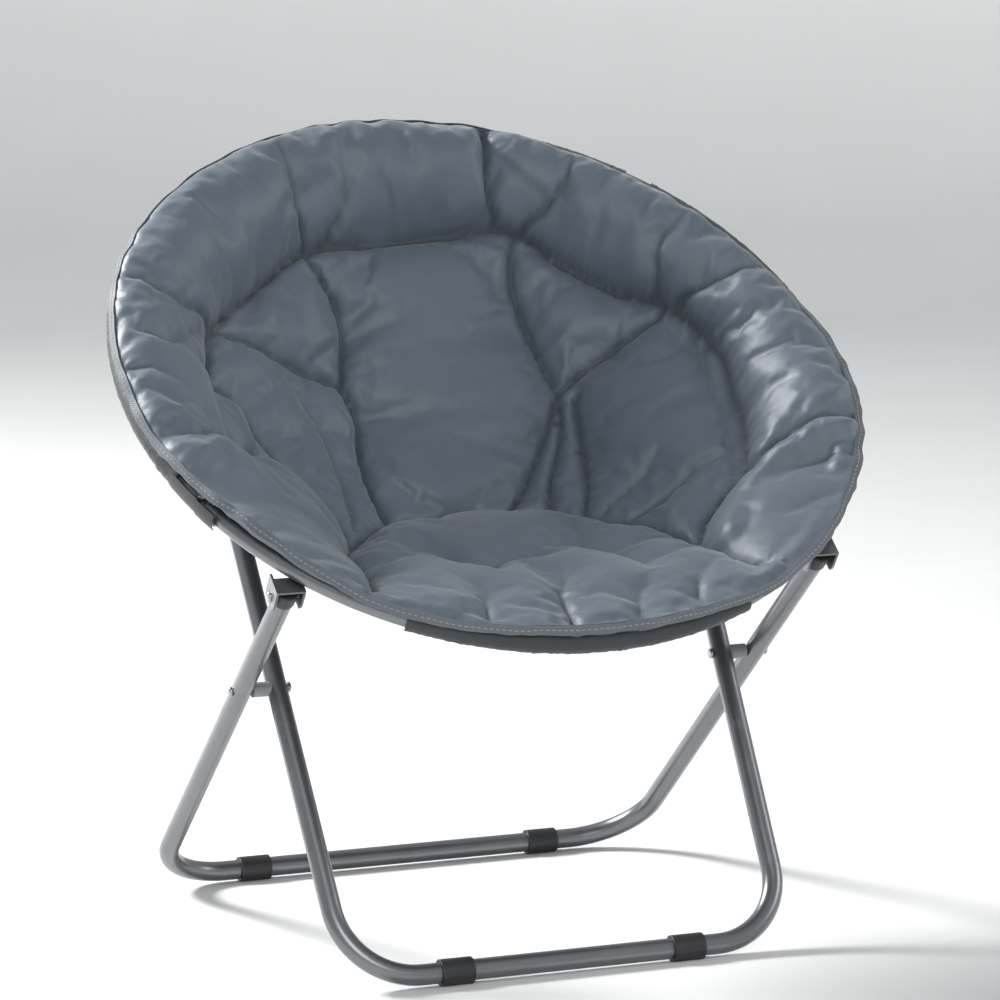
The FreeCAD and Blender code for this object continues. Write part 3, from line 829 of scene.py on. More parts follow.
@dataclass
class CoverSurface:
    """The cover's upper surface as one piece of cloth: an even grid, pinned along its seams and puffed."""

    shape: CoverShape
    spacing: float = 5.6 * MM
    slack: float = 0.055
    pressure: float = 4.0
    frames: int = 22
    cap: float = 26 * MM
    seed: int = 7
    groove: float = 4.5 * MM
    ease_rounds: int = 30
    flat: np.ndarray = field(init=False)
    height: np.ndarray = field(init=False)
    faces: np.ndarray = field(init=False)
    edge: np.ndarray = field(init=False)
    pinned: np.ndarray = field(init=False)
    drawn: np.ndarray = field(init=False)
    front: np.ndarray = field(init=False)
    links: np.ndarray = field(init=False)

    def __post_init__(self) -> None:
        """Lays out the grid and its pins."""
        self._lay_out()
        self._fit_rim()
        self._fit_creases()
        noise = np.random.default_rng(self.seed).normal(0, 0.35 * MM, len(self.flat))
        lift = self.shape.creased(self.flat[:, 0], self.flat[:, 1])
        self.height = lift + noise * (self.pinned < 0.05)

    def _lay_out(self) -> None:
        """Square cells over the disc, with one row on the hinge line."""
        reach = int(math.ceil(0.42 / self.spacing))
        columns = np.arange(-reach, reach + 1) * self.spacing
        rows = self.shape.hoop.hinge_station + np.arange(-reach // 2 - 6, reach + reach // 2) * self.spacing
        x, s = np.meshgrid(columns, rows)
        corner = np.arange(x.size).reshape(x.shape)
        cells = np.stack([corner[:-1, :-1], corner[:-1, 1:], corner[1:, 1:], corner[1:, :-1]], axis=-1)
        cells = cells.reshape(-1, 4)
        places = np.stack([x.ravel(), s.ravel()], axis=1)
        middle = places[cells].mean(axis=1)
        rim_radius, _ = self.shape.rim(np.degrees(np.arctan2(middle[:, 1], middle[:, 0])))
        cells = cells[np.hypot(middle[:, 0], middle[:, 1]) < rim_radius - 0.35 * self.spacing]
        used, numbers = np.unique(cells, return_inverse=True)
        self.flat = places[used]
        self.faces = numbers.reshape(-1, 4)
        self.front = self.flat[self.faces].mean(axis=1)[:, 1] < self.shape.hoop.hinge_station
        sides = np.vstack([self.faces[:, [a, (a + 1) % 4]] for a in range(4)])
        ordered = np.sort(sides, axis=1)
        self.links, counts = np.unique(ordered, axis=0, return_counts=True)
        self.edge = np.unique(self.links[counts == 1])
        self.pinned = np.zeros(len(self.flat))
        self.pinned[self.edge] = 1.0
        self.drawn = np.zeros(len(self.flat))

    def _neighbour_mean(self, values: np.ndarray) -> np.ndarray:
        """The mean of what each place's neighbours hold.

        Args:
            values: A number, or a row of numbers, for each place.

        Returns:
            The means, in the same shape.
        """
        total = np.zeros_like(values)
        count = np.zeros(len(values))
        for a, b in ((0, 1), (1, 0)):
            np.add.at(total, self.links[:, a], values[self.links[:, b]])
            np.add.at(count, self.links[:, a], 1)
        return total / (count[:, None] if values.ndim > 1 else count)

    def _relax(self, movable: np.ndarray, rounds: int) -> None:
        """Moves some places to the mean of their neighbours.

        Args:
            movable: Which places may move.
            rounds: How often.
        """
        for _ in range(rounds):
            self.flat[movable] = self._neighbour_mean(self.flat)[movable]

    def _fit_rim(self) -> None:
        """Moves the grid's outer places onto the sewn edge."""
        angle = np.degrees(np.arctan2(self.flat[self.edge, 1], self.flat[self.edge, 0]))
        rim_radius, _ = self.shape.rim(angle)
        turn = np.radians(angle)
        self.flat[self.edge] = np.stack([rim_radius * np.cos(turn), rim_radius * np.sin(turn)], axis=1)
        all_rim, _ = self.shape.rim(np.degrees(np.arctan2(self.flat[:, 1], self.flat[:, 0])))
        near = all_rim - np.hypot(self.flat[:, 0], self.flat[:, 1]) < 4 * self.spacing
        near[self.edge] = False
        self._relax(near, 14)

    def _fit_creases(self) -> None:
        """Moves the nearest places onto each crease and pins them there."""
        fixed = self.pinned > 0
        for crease in CREASES:
            line = curve_through(crease.points, 4.5) * MM
            shares = np.linspace(crease.start_share, crease.end_share, len(line))
            for point, share in zip(line, shares):
                distance = np.hypot(*(self.flat - point).T)
                if distance[fixed].min() < 0.6 * self.spacing:
                    continue
                distance[fixed] = 1.0
                nearest = int(np.argmin(distance))
                if distance[nearest] < 0.72 * self.spacing:
                    self.flat[nearest] = point
                    fixed[nearest] = True
                    self.pinned[nearest] = crease.held * min(1.0, 0.3 + share)
        for crease in CREASES:
            distance, depth = crease.measure(self.flat[:, 0], self.flat[:, 1])
            share = np.minimum(1, depth / (14 * MM)) * np.exp(-(distance / (0.62 * self.spacing)) ** 2)
            self.drawn = np.maximum(self.drawn, share)
            self.pinned = np.maximum(self.pinned, 0.8 * crease.held * share)
        close = np.zeros(len(self.flat), bool)
        close[fixed] = True
        for _ in range(2):
            touching = self.links[close[self.links].any(axis=1)]
            close[touching.ravel()] = True
        self._relax(close & ~fixed, 4)

    def _group(self, piece: bpy.types.Object, name: str, weights: np.ndarray) -> str:
        """Adds a vertex group.

        Args:
            piece: The mesh object that gets it.
            name: Its name.
            weights: The weight of each vertex, from 0 to 1.

        Returns:
            The same name.
        """
        group = piece.vertex_groups.new(name=name)
        for weight in np.unique(np.round(weights, 2)):
            members = np.flatnonzero(np.isclose(np.round(weights, 2), weight))
            group.add(members.tolist(), float(weight), "REPLACE")
        return name

    def _tautness(self) -> np.ndarray:
        """Where the cloth has no slack: the two side panels beside the seat.

        Returns:
            How taut each place is, from 0 to 1.
        """
        x, s = self.flat[:, 0], self.flat[:, 1]
        wing = smooth_step(0.0, 0.03, np.abs(x) - self.shape._seat_width(s))
        return wing * smooth_step(-0.12, -0.16, s) * 0.85

    def puff(self) -> None:
        """Runs the cloth under pressure between its pins, and keeps the result."""
        start = np.column_stack([self.flat, self.height])
        piece = mesh_object("cover_cloth", start, self.faces)
        cloth = piece.modifiers.new("cloth", "CLOTH")
        made = cloth.settings
        made.quality = 5
        made.mass = 0.25
        made.air_damping = 2.0
        made.tension_stiffness = made.compression_stiffness = 15
        made.shear_stiffness = 4
        made.bending_stiffness = 0.6
        made.tension_damping = made.compression_damping = made.shear_damping = 8
        made.use_pressure = True
        made.uniform_pressure_force = self.pressure
        made.shrink_min = -self.slack
        made.shrink_max = -0.004
        made.vertex_group_shrink = self._group(piece, "taut", self._tautness())
        made.vertex_group_mass = self._group(piece, "sewn", self.pinned)
        made.pin_stiffness = 6
        made.effector_weights.gravity = 0
        cloth.collision_settings.use_collision = False
        scene = bpy.context.scene
        cloth.point_cache.frame_start, cloth.point_cache.frame_end = 1, self.frames
        for step in range(1, self.frames + 1):
            scene.frame_set(step)
        result = piece.evaluated_get(bpy.context.evaluated_depsgraph_get())
        moved = np.array([vertex.co for vertex in result.data.vertices]) - start
        length = np.linalg.norm(moved, axis=1, keepdims=True)
        moved *= np.minimum(1, self.cap * np.tanh(length / self.cap) / np.maximum(length, 1e-9))
        scene.frame_set(1)
        bpy.data.objects.remove(piece)
        self.flat = start[:, :2] + moved[:, :2]
        self.height = self._eased(start[:, 2] + moved[:, 2])

    def _eased(self, height: np.ndarray) -> np.ndarray:
        """Lifts places clear of the underside, with the lift fading out round them.

        Args:
            height: Height of each place.

        Returns:
            The eased heights.
        """
        needed = self.shape.clear(self.flat[:, 0], self.flat[:, 1], height) - height
        lift = needed.copy()
        for _ in range(self.ease_rounds):
            lift = np.maximum(needed, self._neighbour_mean(lift))
            lift[self.edge] = needed[self.edge]
        return height + lift

    def finer(self) -> tuple[np.ndarray, list, np.ndarray, np.ndarray, np.ndarray]:
        """The surface with its creases drawn tight and one subdivision.

        Returns:
            Its points in the hoop's plane, its faces, which faces are in front of the hinge line, the
            normal at each point and the share of a crease there.
        """
        piece = mesh_object("cover_smooth", np.column_stack([self.flat, self.height]), self.faces)
        normals = np.array([vertex.normal for vertex in piece.data.vertices])
        drawn_in = np.column_stack([self.flat, self.height]) - normals * (self.groove * self.drawn)[:, None]
        piece.data.vertices.foreach_set("co", drawn_in.astype(np.float32).ravel())
        ends = np.array([edge.vertices[:] for edge in piece.data.edges])
        folds = piece.data.attributes.new("crease_edge", "FLOAT", "EDGE")
        folds.data.foreach_set("value", (self.drawn[ends].min(axis=1) * 0.8).astype(np.float32))
        mark = piece.data.attributes.new("drawn", "FLOAT", "POINT")
        mark.data.foreach_set("value", self.drawn.astype(np.float32))
        piece.data.update()
        piece.data.materials.append(None)
        piece.data.materials.append(None)
        piece.data.polygons.foreach_set("material_index", self.front.astype(np.int32))
        smoother = piece.modifiers.new("smooth", "SUBSURF")
        smoother.levels = smoother.render_levels = 1
        smoother.boundary_smooth = "ALL"
        result = bpy.data.meshes.new_from_object(piece.evaluated_get(bpy.context.evaluated_depsgraph_get()))
        points = np.array([vertex.co for vertex in result.vertices])
        normals = np.array([vertex.normal for vertex in result.vertices])
        faces = [tuple(face.vertices) for face in result.polygons]
        front = np.array([face.material_index for face in result.polygons], bool)
        drawn = np.zeros(len(points), np.float32)
        result.attributes["drawn"].data.foreach_get("value", drawn)
        bpy.data.objects.remove(piece)
        bpy.data.meshes.remove(result)
        return points, faces, front, normals, drawn


@dataclass
class BaseCloth:
    """The plain cloth bowl under the padding, from its middle up over the hoop to the sewn edge."""

    hoop: Hoop
    shape: CoverShape
    finishes: Finishes
    gap: float = 0.4 * MM
    thickness: float = 1.8 * MM
    sides: int = 288
    pleat_depth: float = 2.4 * MM
    keep: float = 0.13
    seed: int = 31
    ring_radii: tuple[float, ...] = (16, 34, 54, 76, 100, 125, 150, 175, 200, 225, 250, 275, 298, 318, 335,
                                     350, 362, 372, 379)
    over_angles: tuple[float, ...] = (4, 20, 36, 52, 68, 84, 90)
    pleat_rise: tuple[float, float] = (0.12, 0.34)
    pleat_fall: tuple[float, float] = (0.388, 0.372)

    def _height(self, x: np.ndarray, s: np.ndarray) -> np.ndarray:
        """Height of the cloth's upper face.

        Args:
            x: Places across, in metres.
            s: Places up the slope, in metres.

        Returns:
            Heights over the hoop's plane, in metres.
        """
        angle = np.degrees(np.arctan2(s, x))
        radius = np.hypot(x, s)
        spread = smooth_step(*self.pleat_rise, radius) * smooth_step(*self.pleat_fall, radius)
        pleats = 0.5 + 0.5 * np.clip(wander(angle, self.seed, 9, 38), -1, 1)
        return self.shape.bottom(x, s) - self.gap - self.pleat_depth * pleats * spread

    def _rings(self) -> tuple[np.ndarray, list]:
        """The cloth's upper face, in rings from the middle to the sewn edge.

        Returns:
            Its points in the hoop's plane, and its faces.
        """
        angles = np.arange(self.sides) * 360 / self.sides - 180
        turn = np.radians(angles)
        rim_radius, rim_height = self.shape.rim(angles)
        inner = np.array(self.ring_radii)
        over = self.hoop.radius - self.shape.under_clearance * np.cos(np.radians(self.over_angles))
        points = []
        for radius in (*(inner * MM), *over):
            x, s = radius * np.cos(turn), radius * np.sin(turn)
            points.append(np.column_stack([x, s, self._height(x, s)]))
        top = points[-1][:, 2]
        for share in (0.5, 1.0):
            radius = self.hoop.radius + (rim_radius - 1 * MM - self.hoop.radius) * share
            height = top + (rim_height - 1.5 * MM - top) * share ** 1.3
            points.append(np.column_stack([radius * np.cos(turn), radius * np.sin(turn), height]))
        faces = grid_faces(len(points), self.sides)
        middle = [[0, 0, float(self._height(np.zeros(1), np.zeros(1))[0])]]
        last = len(points) * self.sides
        faces += [(last, (side + 1) % self.sides, side) for side in range(self.sides)]
        return np.vstack([*points, middle]), faces

    def _half(self, name: str, points: np.ndarray, faces: list, front: bool) -> bpy.types.Object:
        """The part of the cloth on one side of the hinge line, as a closed shell.

        Args:
            name: Name of the piece.
            points: Points of the whole upper face.
            faces: Its faces.
            front: Whether the part in front of the hinge line is kept.

        Returns:
            The piece, in the chair's frame.
        """
        sheet = mesh_object(name + "_sheet", points, faces)
        shape = bmesh.new()
        shape.from_mesh(sheet.data)
        bmesh.ops.bisect_plane(shape, geom=[*shape.verts, *shape.edges, *shape.faces],
                               plane_co=(0, self.hoop.hinge_station, 0), plane_no=(0, 1, 0),
                               clear_outer=front, clear_inner=not front)
        bmesh.ops.recalc_face_normals(shape, faces=shape.faces)
        if sum(face.normal.z for face in shape.faces) < 0:
            bmesh.ops.reverse_faces(shape, faces=shape.faces)
        shape.to_mesh(sheet.data)
        shape.free()
        thick = sheet.modifiers.new("thick", "SOLIDIFY")
        thick.thickness, thick.offset = self.thickness, -1
        made = bpy.data.meshes.new_from_object(sheet.evaluated_get(bpy.context.evaluated_depsgraph_get()))
        bpy.data.objects.remove(sheet)
        corners = np.array([vertex.co for vertex in made.vertices])
        polygons = [tuple(face.vertices) for face in made.polygons]
        bpy.data.meshes.remove(made)
        return closed_object(name, self.hoop.place(corners), polygons, corners * np.array([1.1, 1.1, 0]))

    def build(self) -> None:
        """Makes and dresses both pieces, and puts each on its body."""
        points, faces = self._rings()
        for part, body in (("rear", Body.REAR_HOOP), ("front", Body.FRONT_HOOP)):
            piece = self._half(part + "_base_cloth", points, faces, body is Body.FRONT_HOOP)
            piece.data.materials.append(self.finishes.base_cloth)
            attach(piece, body.value)
            self.hoop.up()
            self.hoop.fold_anchor()
            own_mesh(piece)
            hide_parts(part + "_sling")
            log.info("%s: %d points", piece.name, len(piece.data.vertices))


@dataclass
class Sleeves:
    """The cloth sleeves that hold the cover on the hoop, drawn up in wrinkles."""

    hoop: Hoop
    finishes: Finishes
    outer: float = 12.2 * MM
    inner: float = 9.8 * MM
    wrinkle: float = 0.55 * MM
    hem_width: float = 9 * MM
    hem_proud: float = 0.5 * MM
    sides: int = 28
    flap_line: tuple[Point, ...] = ((13.4, 12.8), (13.8, 5), (12.6, -4), (8.8, -11))
    flap_thickness: float = 1.0 * MM
    flap_step: float = 1.3 * MM
    flap_gap: float = 0.03
    flap_rear: float = 6.2
    flap_front: float = 3.9
    rear_ends: tuple[float, float] = (-19.5, 199.5)
    front_ends: tuple[float, float] = (241.0, 296.0)
    rear_gaps: tuple[Point, ...] = ((-11.5, -10.5), (13.5, 14.5), (44.2, 49.0), (95.5, 96.5), (131.0, 135.8))

    def _tube(self, start: float, end: float, first: int) -> tuple[np.ndarray, list, np.ndarray]:
        """One sleeve from an angle to an angle.

        Args:
            start: First angle, in degrees.
            end: Last angle, in degrees.
            first: Number of its first vertex.

        Returns:
            Its points in the chair's frame, its faces and its weave.
        """
        length = math.radians(end - start) * self.hoop.radius
        along = np.linspace(0, length, max(8, int(length / (3 * MM))))
        hem = smooth_step(self.hem_width, self.hem_width - 1 * MM, np.minimum(along, length - along))
        angles = start + np.degrees(along / self.hoop.radius)
        round_tube = np.arange(self.sides) * 2 * math.pi / self.sides
        wave = wander(angles, 41, 60, 240)[:, None] * np.cos(round_tube + 0.8)
        wave = wave + wander(angles, 42, 80, 300)[:, None] * np.sin(2 * round_tube)
        wave = wave + wander(angles, 43, 70, 200)[:, None] * np.sin(round_tube * 3 + 1)
        outside = self.outer + self.hem_proud * hem[:, None] + self.wrinkle * np.abs(wave)
        inside = np.full_like(outside, self.inner)
        reach = np.vstack([outside, inside[::-1]])
        turn = np.radians(np.concatenate([angles, angles[::-1]]))[:, None]
        radius = self.hoop.radius + reach * np.cos(round_tube)
        points = np.stack([radius * np.cos(turn), radius * np.sin(turn), reach * np.sin(round_tube)], axis=-1)
        run = np.concatenate([along, along[::-1]])[:, None] + 0 * reach
        weave = np.stack([run, self.outer * round_tube + 0 * reach, 0 * reach], axis=-1)
        faces = [tuple(first + corner for corner in face)
                 for face in grid_faces(len(reach), self.sides, wrap_rows=True)]
        return self.hoop.place(points).reshape(-1, 3), faces, weave.reshape(-1, 3)

    def _flap(self, start: float, end: float, out: float, first: int) -> tuple[np.ndarray, list, np.ndarray]:
        """Cloth over the outside of a hinge, from an angle to an angle.

        Args:
            start: First angle, in degrees.
            end: Last angle, in degrees.
            out: How much further out it lies than its own line.
            first: Number of its first vertex.

        Returns:
            Its points in the chair's frame, its faces and its weave.
        """
        line = curve_through(self.flap_line, 2.5) * MM + np.array([out, 0])
        section = np.vstack([line, line[::-1] - np.array([self.flap_thickness, 0])])
        angles = np.linspace(start, end, 16)
        turn = np.radians(angles)[:, None]
        radius = self.hoop.radius + section[:, 0]
        points = np.stack([radius * np.cos(turn), radius * np.sin(turn), section[:, 1] + 0 * turn], axis=-1)
        rows, columns = len(angles), len(section)
        faces = [tuple(first + corner for corner in face) for face in capped_faces(rows, columns)]
        weave = np.stack([turn * radius, section[:, 1] + 0 * turn, 0 * turn * radius], axis=-1)
        return self.hoop.place(points).reshape(-1, 3), faces, weave.reshape(-1, 3)

    def _joined(self, name: str, spans: list, flaps: list, out: float) -> bpy.types.Object:
        """Several sleeves and hinge flaps as one piece.

        Args:
            name: Name of the piece.
            spans: First and last angle of each sleeve, in degrees.
            flaps: First and last angle of each hinge flap, in degrees.
            out: How much further out the flaps lie than their own line.

        Returns:
            The piece, in the chair's frame.
        """
        points, faces, weave = np.zeros((0, 3)), [], np.zeros((0, 3))
        for start, end in [*spans, *flaps]:
            if (start, end) in flaps:
                more_points, more_faces, more_weave = self._flap(start, end, out, len(points))
            else:
                more_points, more_faces, more_weave = self._tube(start, end, len(points))
            points, faces = np.vstack([points, more_points]), faces + more_faces
            weave = np.vstack([weave, more_weave])
        return closed_object(name, points, faces, weave)

    def build(self) -> None:
        stops = [self.rear_ends[0], *(angle for gap in self.rear_gaps for angle in gap), self.rear_ends[1]]
        hinge = -self.hoop.hinge_angle()
        near, far = hinge - self.flap_rear, hinge + self.flap_front
        rear = self._joined("rear_hoop_sleeves", list(zip(stops[::2], stops[1::2])),
                            [(-hinge + self.flap_gap, -near), (180 + near, 180 + hinge - self.flap_gap)], 0)
        front = self._joined("front_hoop_sleeve", [self.front_ends],
                             [(180 + hinge + self.flap_gap, 180 + far), (-far, -hinge - self.flap_gap)],
                             self.flap_step)
        sleeves = ((rear, Body.REAR_HOOP, "rear_sleeves"), (front, Body.FRONT_HOOP, "front_sleeve"))
        for piece, body, node in sleeves:
            piece.data.materials.append(self.finishes.base_cloth)
            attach(piece, body.value)
            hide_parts(node)
            log.info("%s: %d points", piece.name, len(piece.data.vertices))


@dataclass
class Binding:
    """The folded tape sewn round the cover's edge, with its row of stitches."""

    hoop: Hoop
    shape: CoverShape
    finishes: Finishes
    step: float = 3.0 * MM
    width: float = 7.0 * MM
    inset: float = 3.0 * MM
    thickness: float = 3.4 * MM
    fold_wall: float = 0.9 * MM
    stitch_spacing: float = 6.2 * MM
    stitch_length: float = 4.0 * MM
    thread_radius: float = 0.5 * MM
    thread_sides: int = 6
    stitch_inset: float = 1.6 * MM
    keep: float = 0.13

    def _section(self) -> np.ndarray:
        """Half-round U of the folded tape.

        Returns:
            For each corner, how far it is out from the cover's edge and proud of the tape's middle.
        """
        half, nose = self.thickness / 2, self.width - self.thickness / 2
        turn = np.radians(np.linspace(90, -90, 7))
        outer = np.column_stack([nose + half * np.cos(turn), half * np.sin(turn)])
        thin = half - self.fold_wall
        inner = np.column_stack([nose + thin * np.cos(turn[::-1]), thin * np.sin(turn[::-1])])
        ends = [[-self.inset, -half], [-self.inset, -thin]], [[-self.inset, thin], [-self.inset, half]]
        return np.vstack([outer, ends[0], inner, ends[1]])

    def _edge(self, angles: np.ndarray) -> tuple[np.ndarray, np.ndarray, np.ndarray]:
        """The cover's sewn edge.

        Args:
            angles: Angles from +X towards the back, in degrees.

        Returns:
            Its points, the direction across the tape and the direction out of it, in the hoop's plane.
        """
        radius, height = self.shape.rim(angles)
        turn = np.radians(angles)
        out = np.column_stack([np.cos(turn), np.sin(turn), np.zeros(len(turn))])
        up = np.array([0.0, 0.0, 1.0])
        drop = np.radians(self.shape.tape_drop(angles))[:, None]
        across = out * np.cos(drop) - up * np.sin(drop)
        proud = out * np.sin(drop) + up * np.cos(drop)
        return out * radius[:, None] + up * height[:, None], across, proud

    def _span(self, start: float, end: float) -> np.ndarray:
        """Angles at even steps along the edge, in degrees."""
        count = int(math.radians(end - start) * self.hoop.radius / self.step)
        return np.linspace(start, end, count)

    def _tape(self, name: str, start: float, end: float) -> bpy.types.Object:
        """The tape from an angle to an angle.

        Args:
            name: Name of the piece.
            start: First angle, in degrees.
            end: Last angle, in degrees.

        Returns:
            The piece, in the chair's frame.
        """
        angles = self._span(start, end)
        edge, across, proud = self._edge(angles)
        section = self._section()
        pucker = 1 + 0.08 * wander(angles, 51, 40, 140)
        reach = section[:, 0] * pucker[:, None]
        points = edge[:, None] + across[:, None] * reach[..., None] + proud[:, None] * section[None, :, 1:]
        rows, columns = reach.shape
        faces = capped_faces(rows, columns)
        run = np.radians(angles)[:, None] * self.hoop.radius + 0 * reach
        weave = np.stack([run, reach, 0 * reach], axis=-1)
        return closed_object(name, self.hoop.place(points).reshape(-1, 3), faces, weave.reshape(-1, 3))

    def _stitches(self, name: str, start: float, end: float) -> bpy.types.Object:
        """The row of stitches on the tape from an angle to an angle.

        Args:
            name: Name of the piece.
            start: First angle, in degrees.
            end: Last angle, in degrees.

        Returns:
            The piece, in the chair's frame.
        """
        run = np.radians(end - start) * self.hoop.radius
        count = int(run / self.stitch_spacing)
        middle = start + (np.arange(count) + 0.5) * (end - start) / count
        half = np.degrees(self.stitch_length / 2 / self.hoop.radius)
        places = np.array([-1, -0.86, -0.5, 0, 0.5, 0.86, 1])
        sizes = np.array([0.25, 0.75, 1, 1, 1, 0.75, 0.25]) * self.thread_radius
        lifts = np.array([-0.8, -0.1, 0.25, 0.35, 0.25, -0.1, -0.8]) * self.thread_radius
        turn = np.arange(self.thread_sides) * 2 * math.pi / self.thread_sides
        angles = (middle[:, None] + places * half).ravel()
        edge, across, proud = self._edge(angles)
        lift = np.tile(lifts, count) + self.thickness / 2
        centre = edge + across * self.stitch_inset + proud * lift[:, None]
        size = np.tile(sizes, count)[:, None, None]
        ring = across[:, None] * np.cos(turn)[:, None] + proud[:, None] * np.sin(turn)[:, None]
        points = (centre[:, None] + size * ring).reshape(-1, 3)
        one = capped_faces(len(places), self.thread_sides)
        corners = len(places) * self.thread_sides
        faces = [tuple(stitch * corners + corner for corner in face)
                 for stitch in range(count) for face in one]
        return closed_object(name, self.hoop.place(points), faces, points)

    def _hinge_crossing(self, start: float, end: float) -> float:
        """Angle at which the cover's edge crosses the hinge line.

        Args:
            start: An angle behind the hinge line, in degrees.
            end: An angle in front of it.

        Returns:
            The angle between them, in degrees.
        """
        angles = np.linspace(start, end, 601)
        radius, _ = self.shape.rim(angles)
        return float(np.interp(-self.hoop.hinge_station, -radius * np.sin(np.radians(angles)), angles))

    def build(self) -> None:
        right = self._hinge_crossing(-10, -40)
        left = self._hinge_crossing(190, 220)
        spans = (("rear", Body.REAR_HOOP, right, left), ("front", Body.FRONT_HOOP, left, right + 360))
        for part, body, start, end in spans:
            tape = self._tape(part + "_edge_tape", start, end)
            tape.data.materials.append(self.finishes.tape)
            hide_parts(part + "_binding")
            stitches = self._stitches(part + "_edge_stitches", start, end)
            stitches.data.materials.append(self.finishes.thread)
            for piece in (tape, stitches):
                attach(piece, body.value)
                self.hoop.up()
                self.hoop.fold_anchor()
                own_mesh(piece)
                log.info("%s: %d points", piece.name, len(piece.data.vertices))


class Stage:
    """Floor, light and camera."""

    @dataclass(frozen=True)
    class View:
        """Where the camera stands, from the object's own frame."""

        target: tuple[float, float, float] = (14.05 * MM, 0, 463.62 * MM)
        distance: float = 4.8303
        azimuth: float = math.radians(21.25)
        elevation: float = math.radians(8.49)
        roll: float = math.radians(-0.47)
        lens: float = 162
        sensor: float = 36

    def camera(self) -> None:
        """Camera at the photograph's angle."""
        view = self.View()
        look = np.array([math.sin(view.azimuth) * math.cos(view.elevation),
                         math.cos(view.azimuth) * math.cos(view.elevation), -math.sin(view.elevation)])
        right = np.array([math.cos(view.azimuth), -math.sin(view.azimuth), 0])
        up = np.cross(right, look)
        turned_right = right * math.cos(view.roll) + up * math.sin(view.roll)
        turned_up = up * math.cos(view.roll) - right * math.sin(view.roll)
        data = bpy.data.cameras.new("camera")
        data.lens, data.sensor_width = view.lens, view.sensor
        data.clip_end = 60
        camera = bpy.data.objects.new("camera", data)
        bpy.context.scene.collection.objects.link(camera)
        turn = Matrix((turned_right, turned_up, -look)).transposed()
        camera.matrix_world = turn.to_4x4()
        camera.location = Vector(view.target) - Vector(look) * view.distance
        bpy.context.scene.camera = camera

    def lamp(self, name: str, place: tuple, target: tuple, size: float, power: float) -> None:
        """A square soft lamp that faces a point.

        Args:
            name: Name of the lamp.
            place: Where it stands.
            target: What it faces.
            size: Side of the square.
            power: Watts.
        """
        data = bpy.data.lights.new(name, "AREA")
        data.energy, data.size = power, size
        lamp = bpy.data.objects.new(name, data)
        lamp.location = place
        lamp.rotation_euler = (Vector(place) - Vector(target)).to_track_quat("Z", "Y").to_euler()
        bpy.context.scene.collection.objects.link(lamp)

    def floor(self) -> None:
        """Plain pale floor that curves up into a backdrop all round."""
        radii = np.array([0, 2, 4, 6, 7, 8, 8.7, 9, 9.1])
        heights = np.array([0, 0, 0, 0, 0.12, 0.6, 1.5, 2.8, 6])
        sides = 96
        turn = np.arange(sides) * 2 * math.pi / sides
        points = [(radius * math.cos(a), radius * math.sin(a), height)
                  for radius, height in zip(radii[1:], heights[1:]) for a in turn]
        points.append((0, 0, 0))
        faces = [(len(points) - 1, i, (i + 1) % sides) for i in range(sides)]
        for ring in range(len(radii) - 2):
            base = ring * sides
            faces += [(base + i, base + sides + i, base + sides + (i + 1) % sides, base + (i + 1) % sides)
                      for i in range(sides)]
        floor = mesh_object("floor", np.array(points), faces)
        shader = Shader("floor")
        where = shader.place()
        mottle = shader.noise(where, 3, 3)
        rise = {"Value": shader.part(where, 2), "From Min": 0.0, "From Max": 1.4}
        wall = shader.node("ShaderNodeMapRange", {}, rise)
        seen = shader.node("ShaderNodeLightPath", output="Is Camera Ray")
        floor.data.materials.append(shader.surface(
            Base_Color=shader.blend(mottle, (0.74, 0.74, 0.73), (0.79, 0.79, 0.78)), Roughness=0.85,
            Emission_Color=shader.blend(wall * seen, (0.0, 0.0, 0.0), (0.36, 0.36, 0.36)),
            Emission_Strength=1.0))

    def build(self) -> None:
        """Makes the whole stage."""
        self.camera()
        self.floor()
        aim = (0, 0, 0.5)
        self.lamp("key", (-2.7, 2.9, 3.2), aim, 1.2, 400)
        self.lamp("front", (-1.2, -4.4, 2.9), aim, 2.4, 82)
        self.lamp("side", (3.6, -1.6, 2.0), aim, 1.6, 30)
        world = bpy.data.worlds.new("sky")
        bpy.context.scene.world = world
        world.use_nodes = True
        world.node_tree.nodes["Background"].inputs["Color"].default_value = (0.90, 0.95, 1.0, 1)
        world.node_tree.nodes["Background"].inputs["Strength"].default_value = 0.46
        bpy.context.scene.view_settings.view_transform = "Standard"


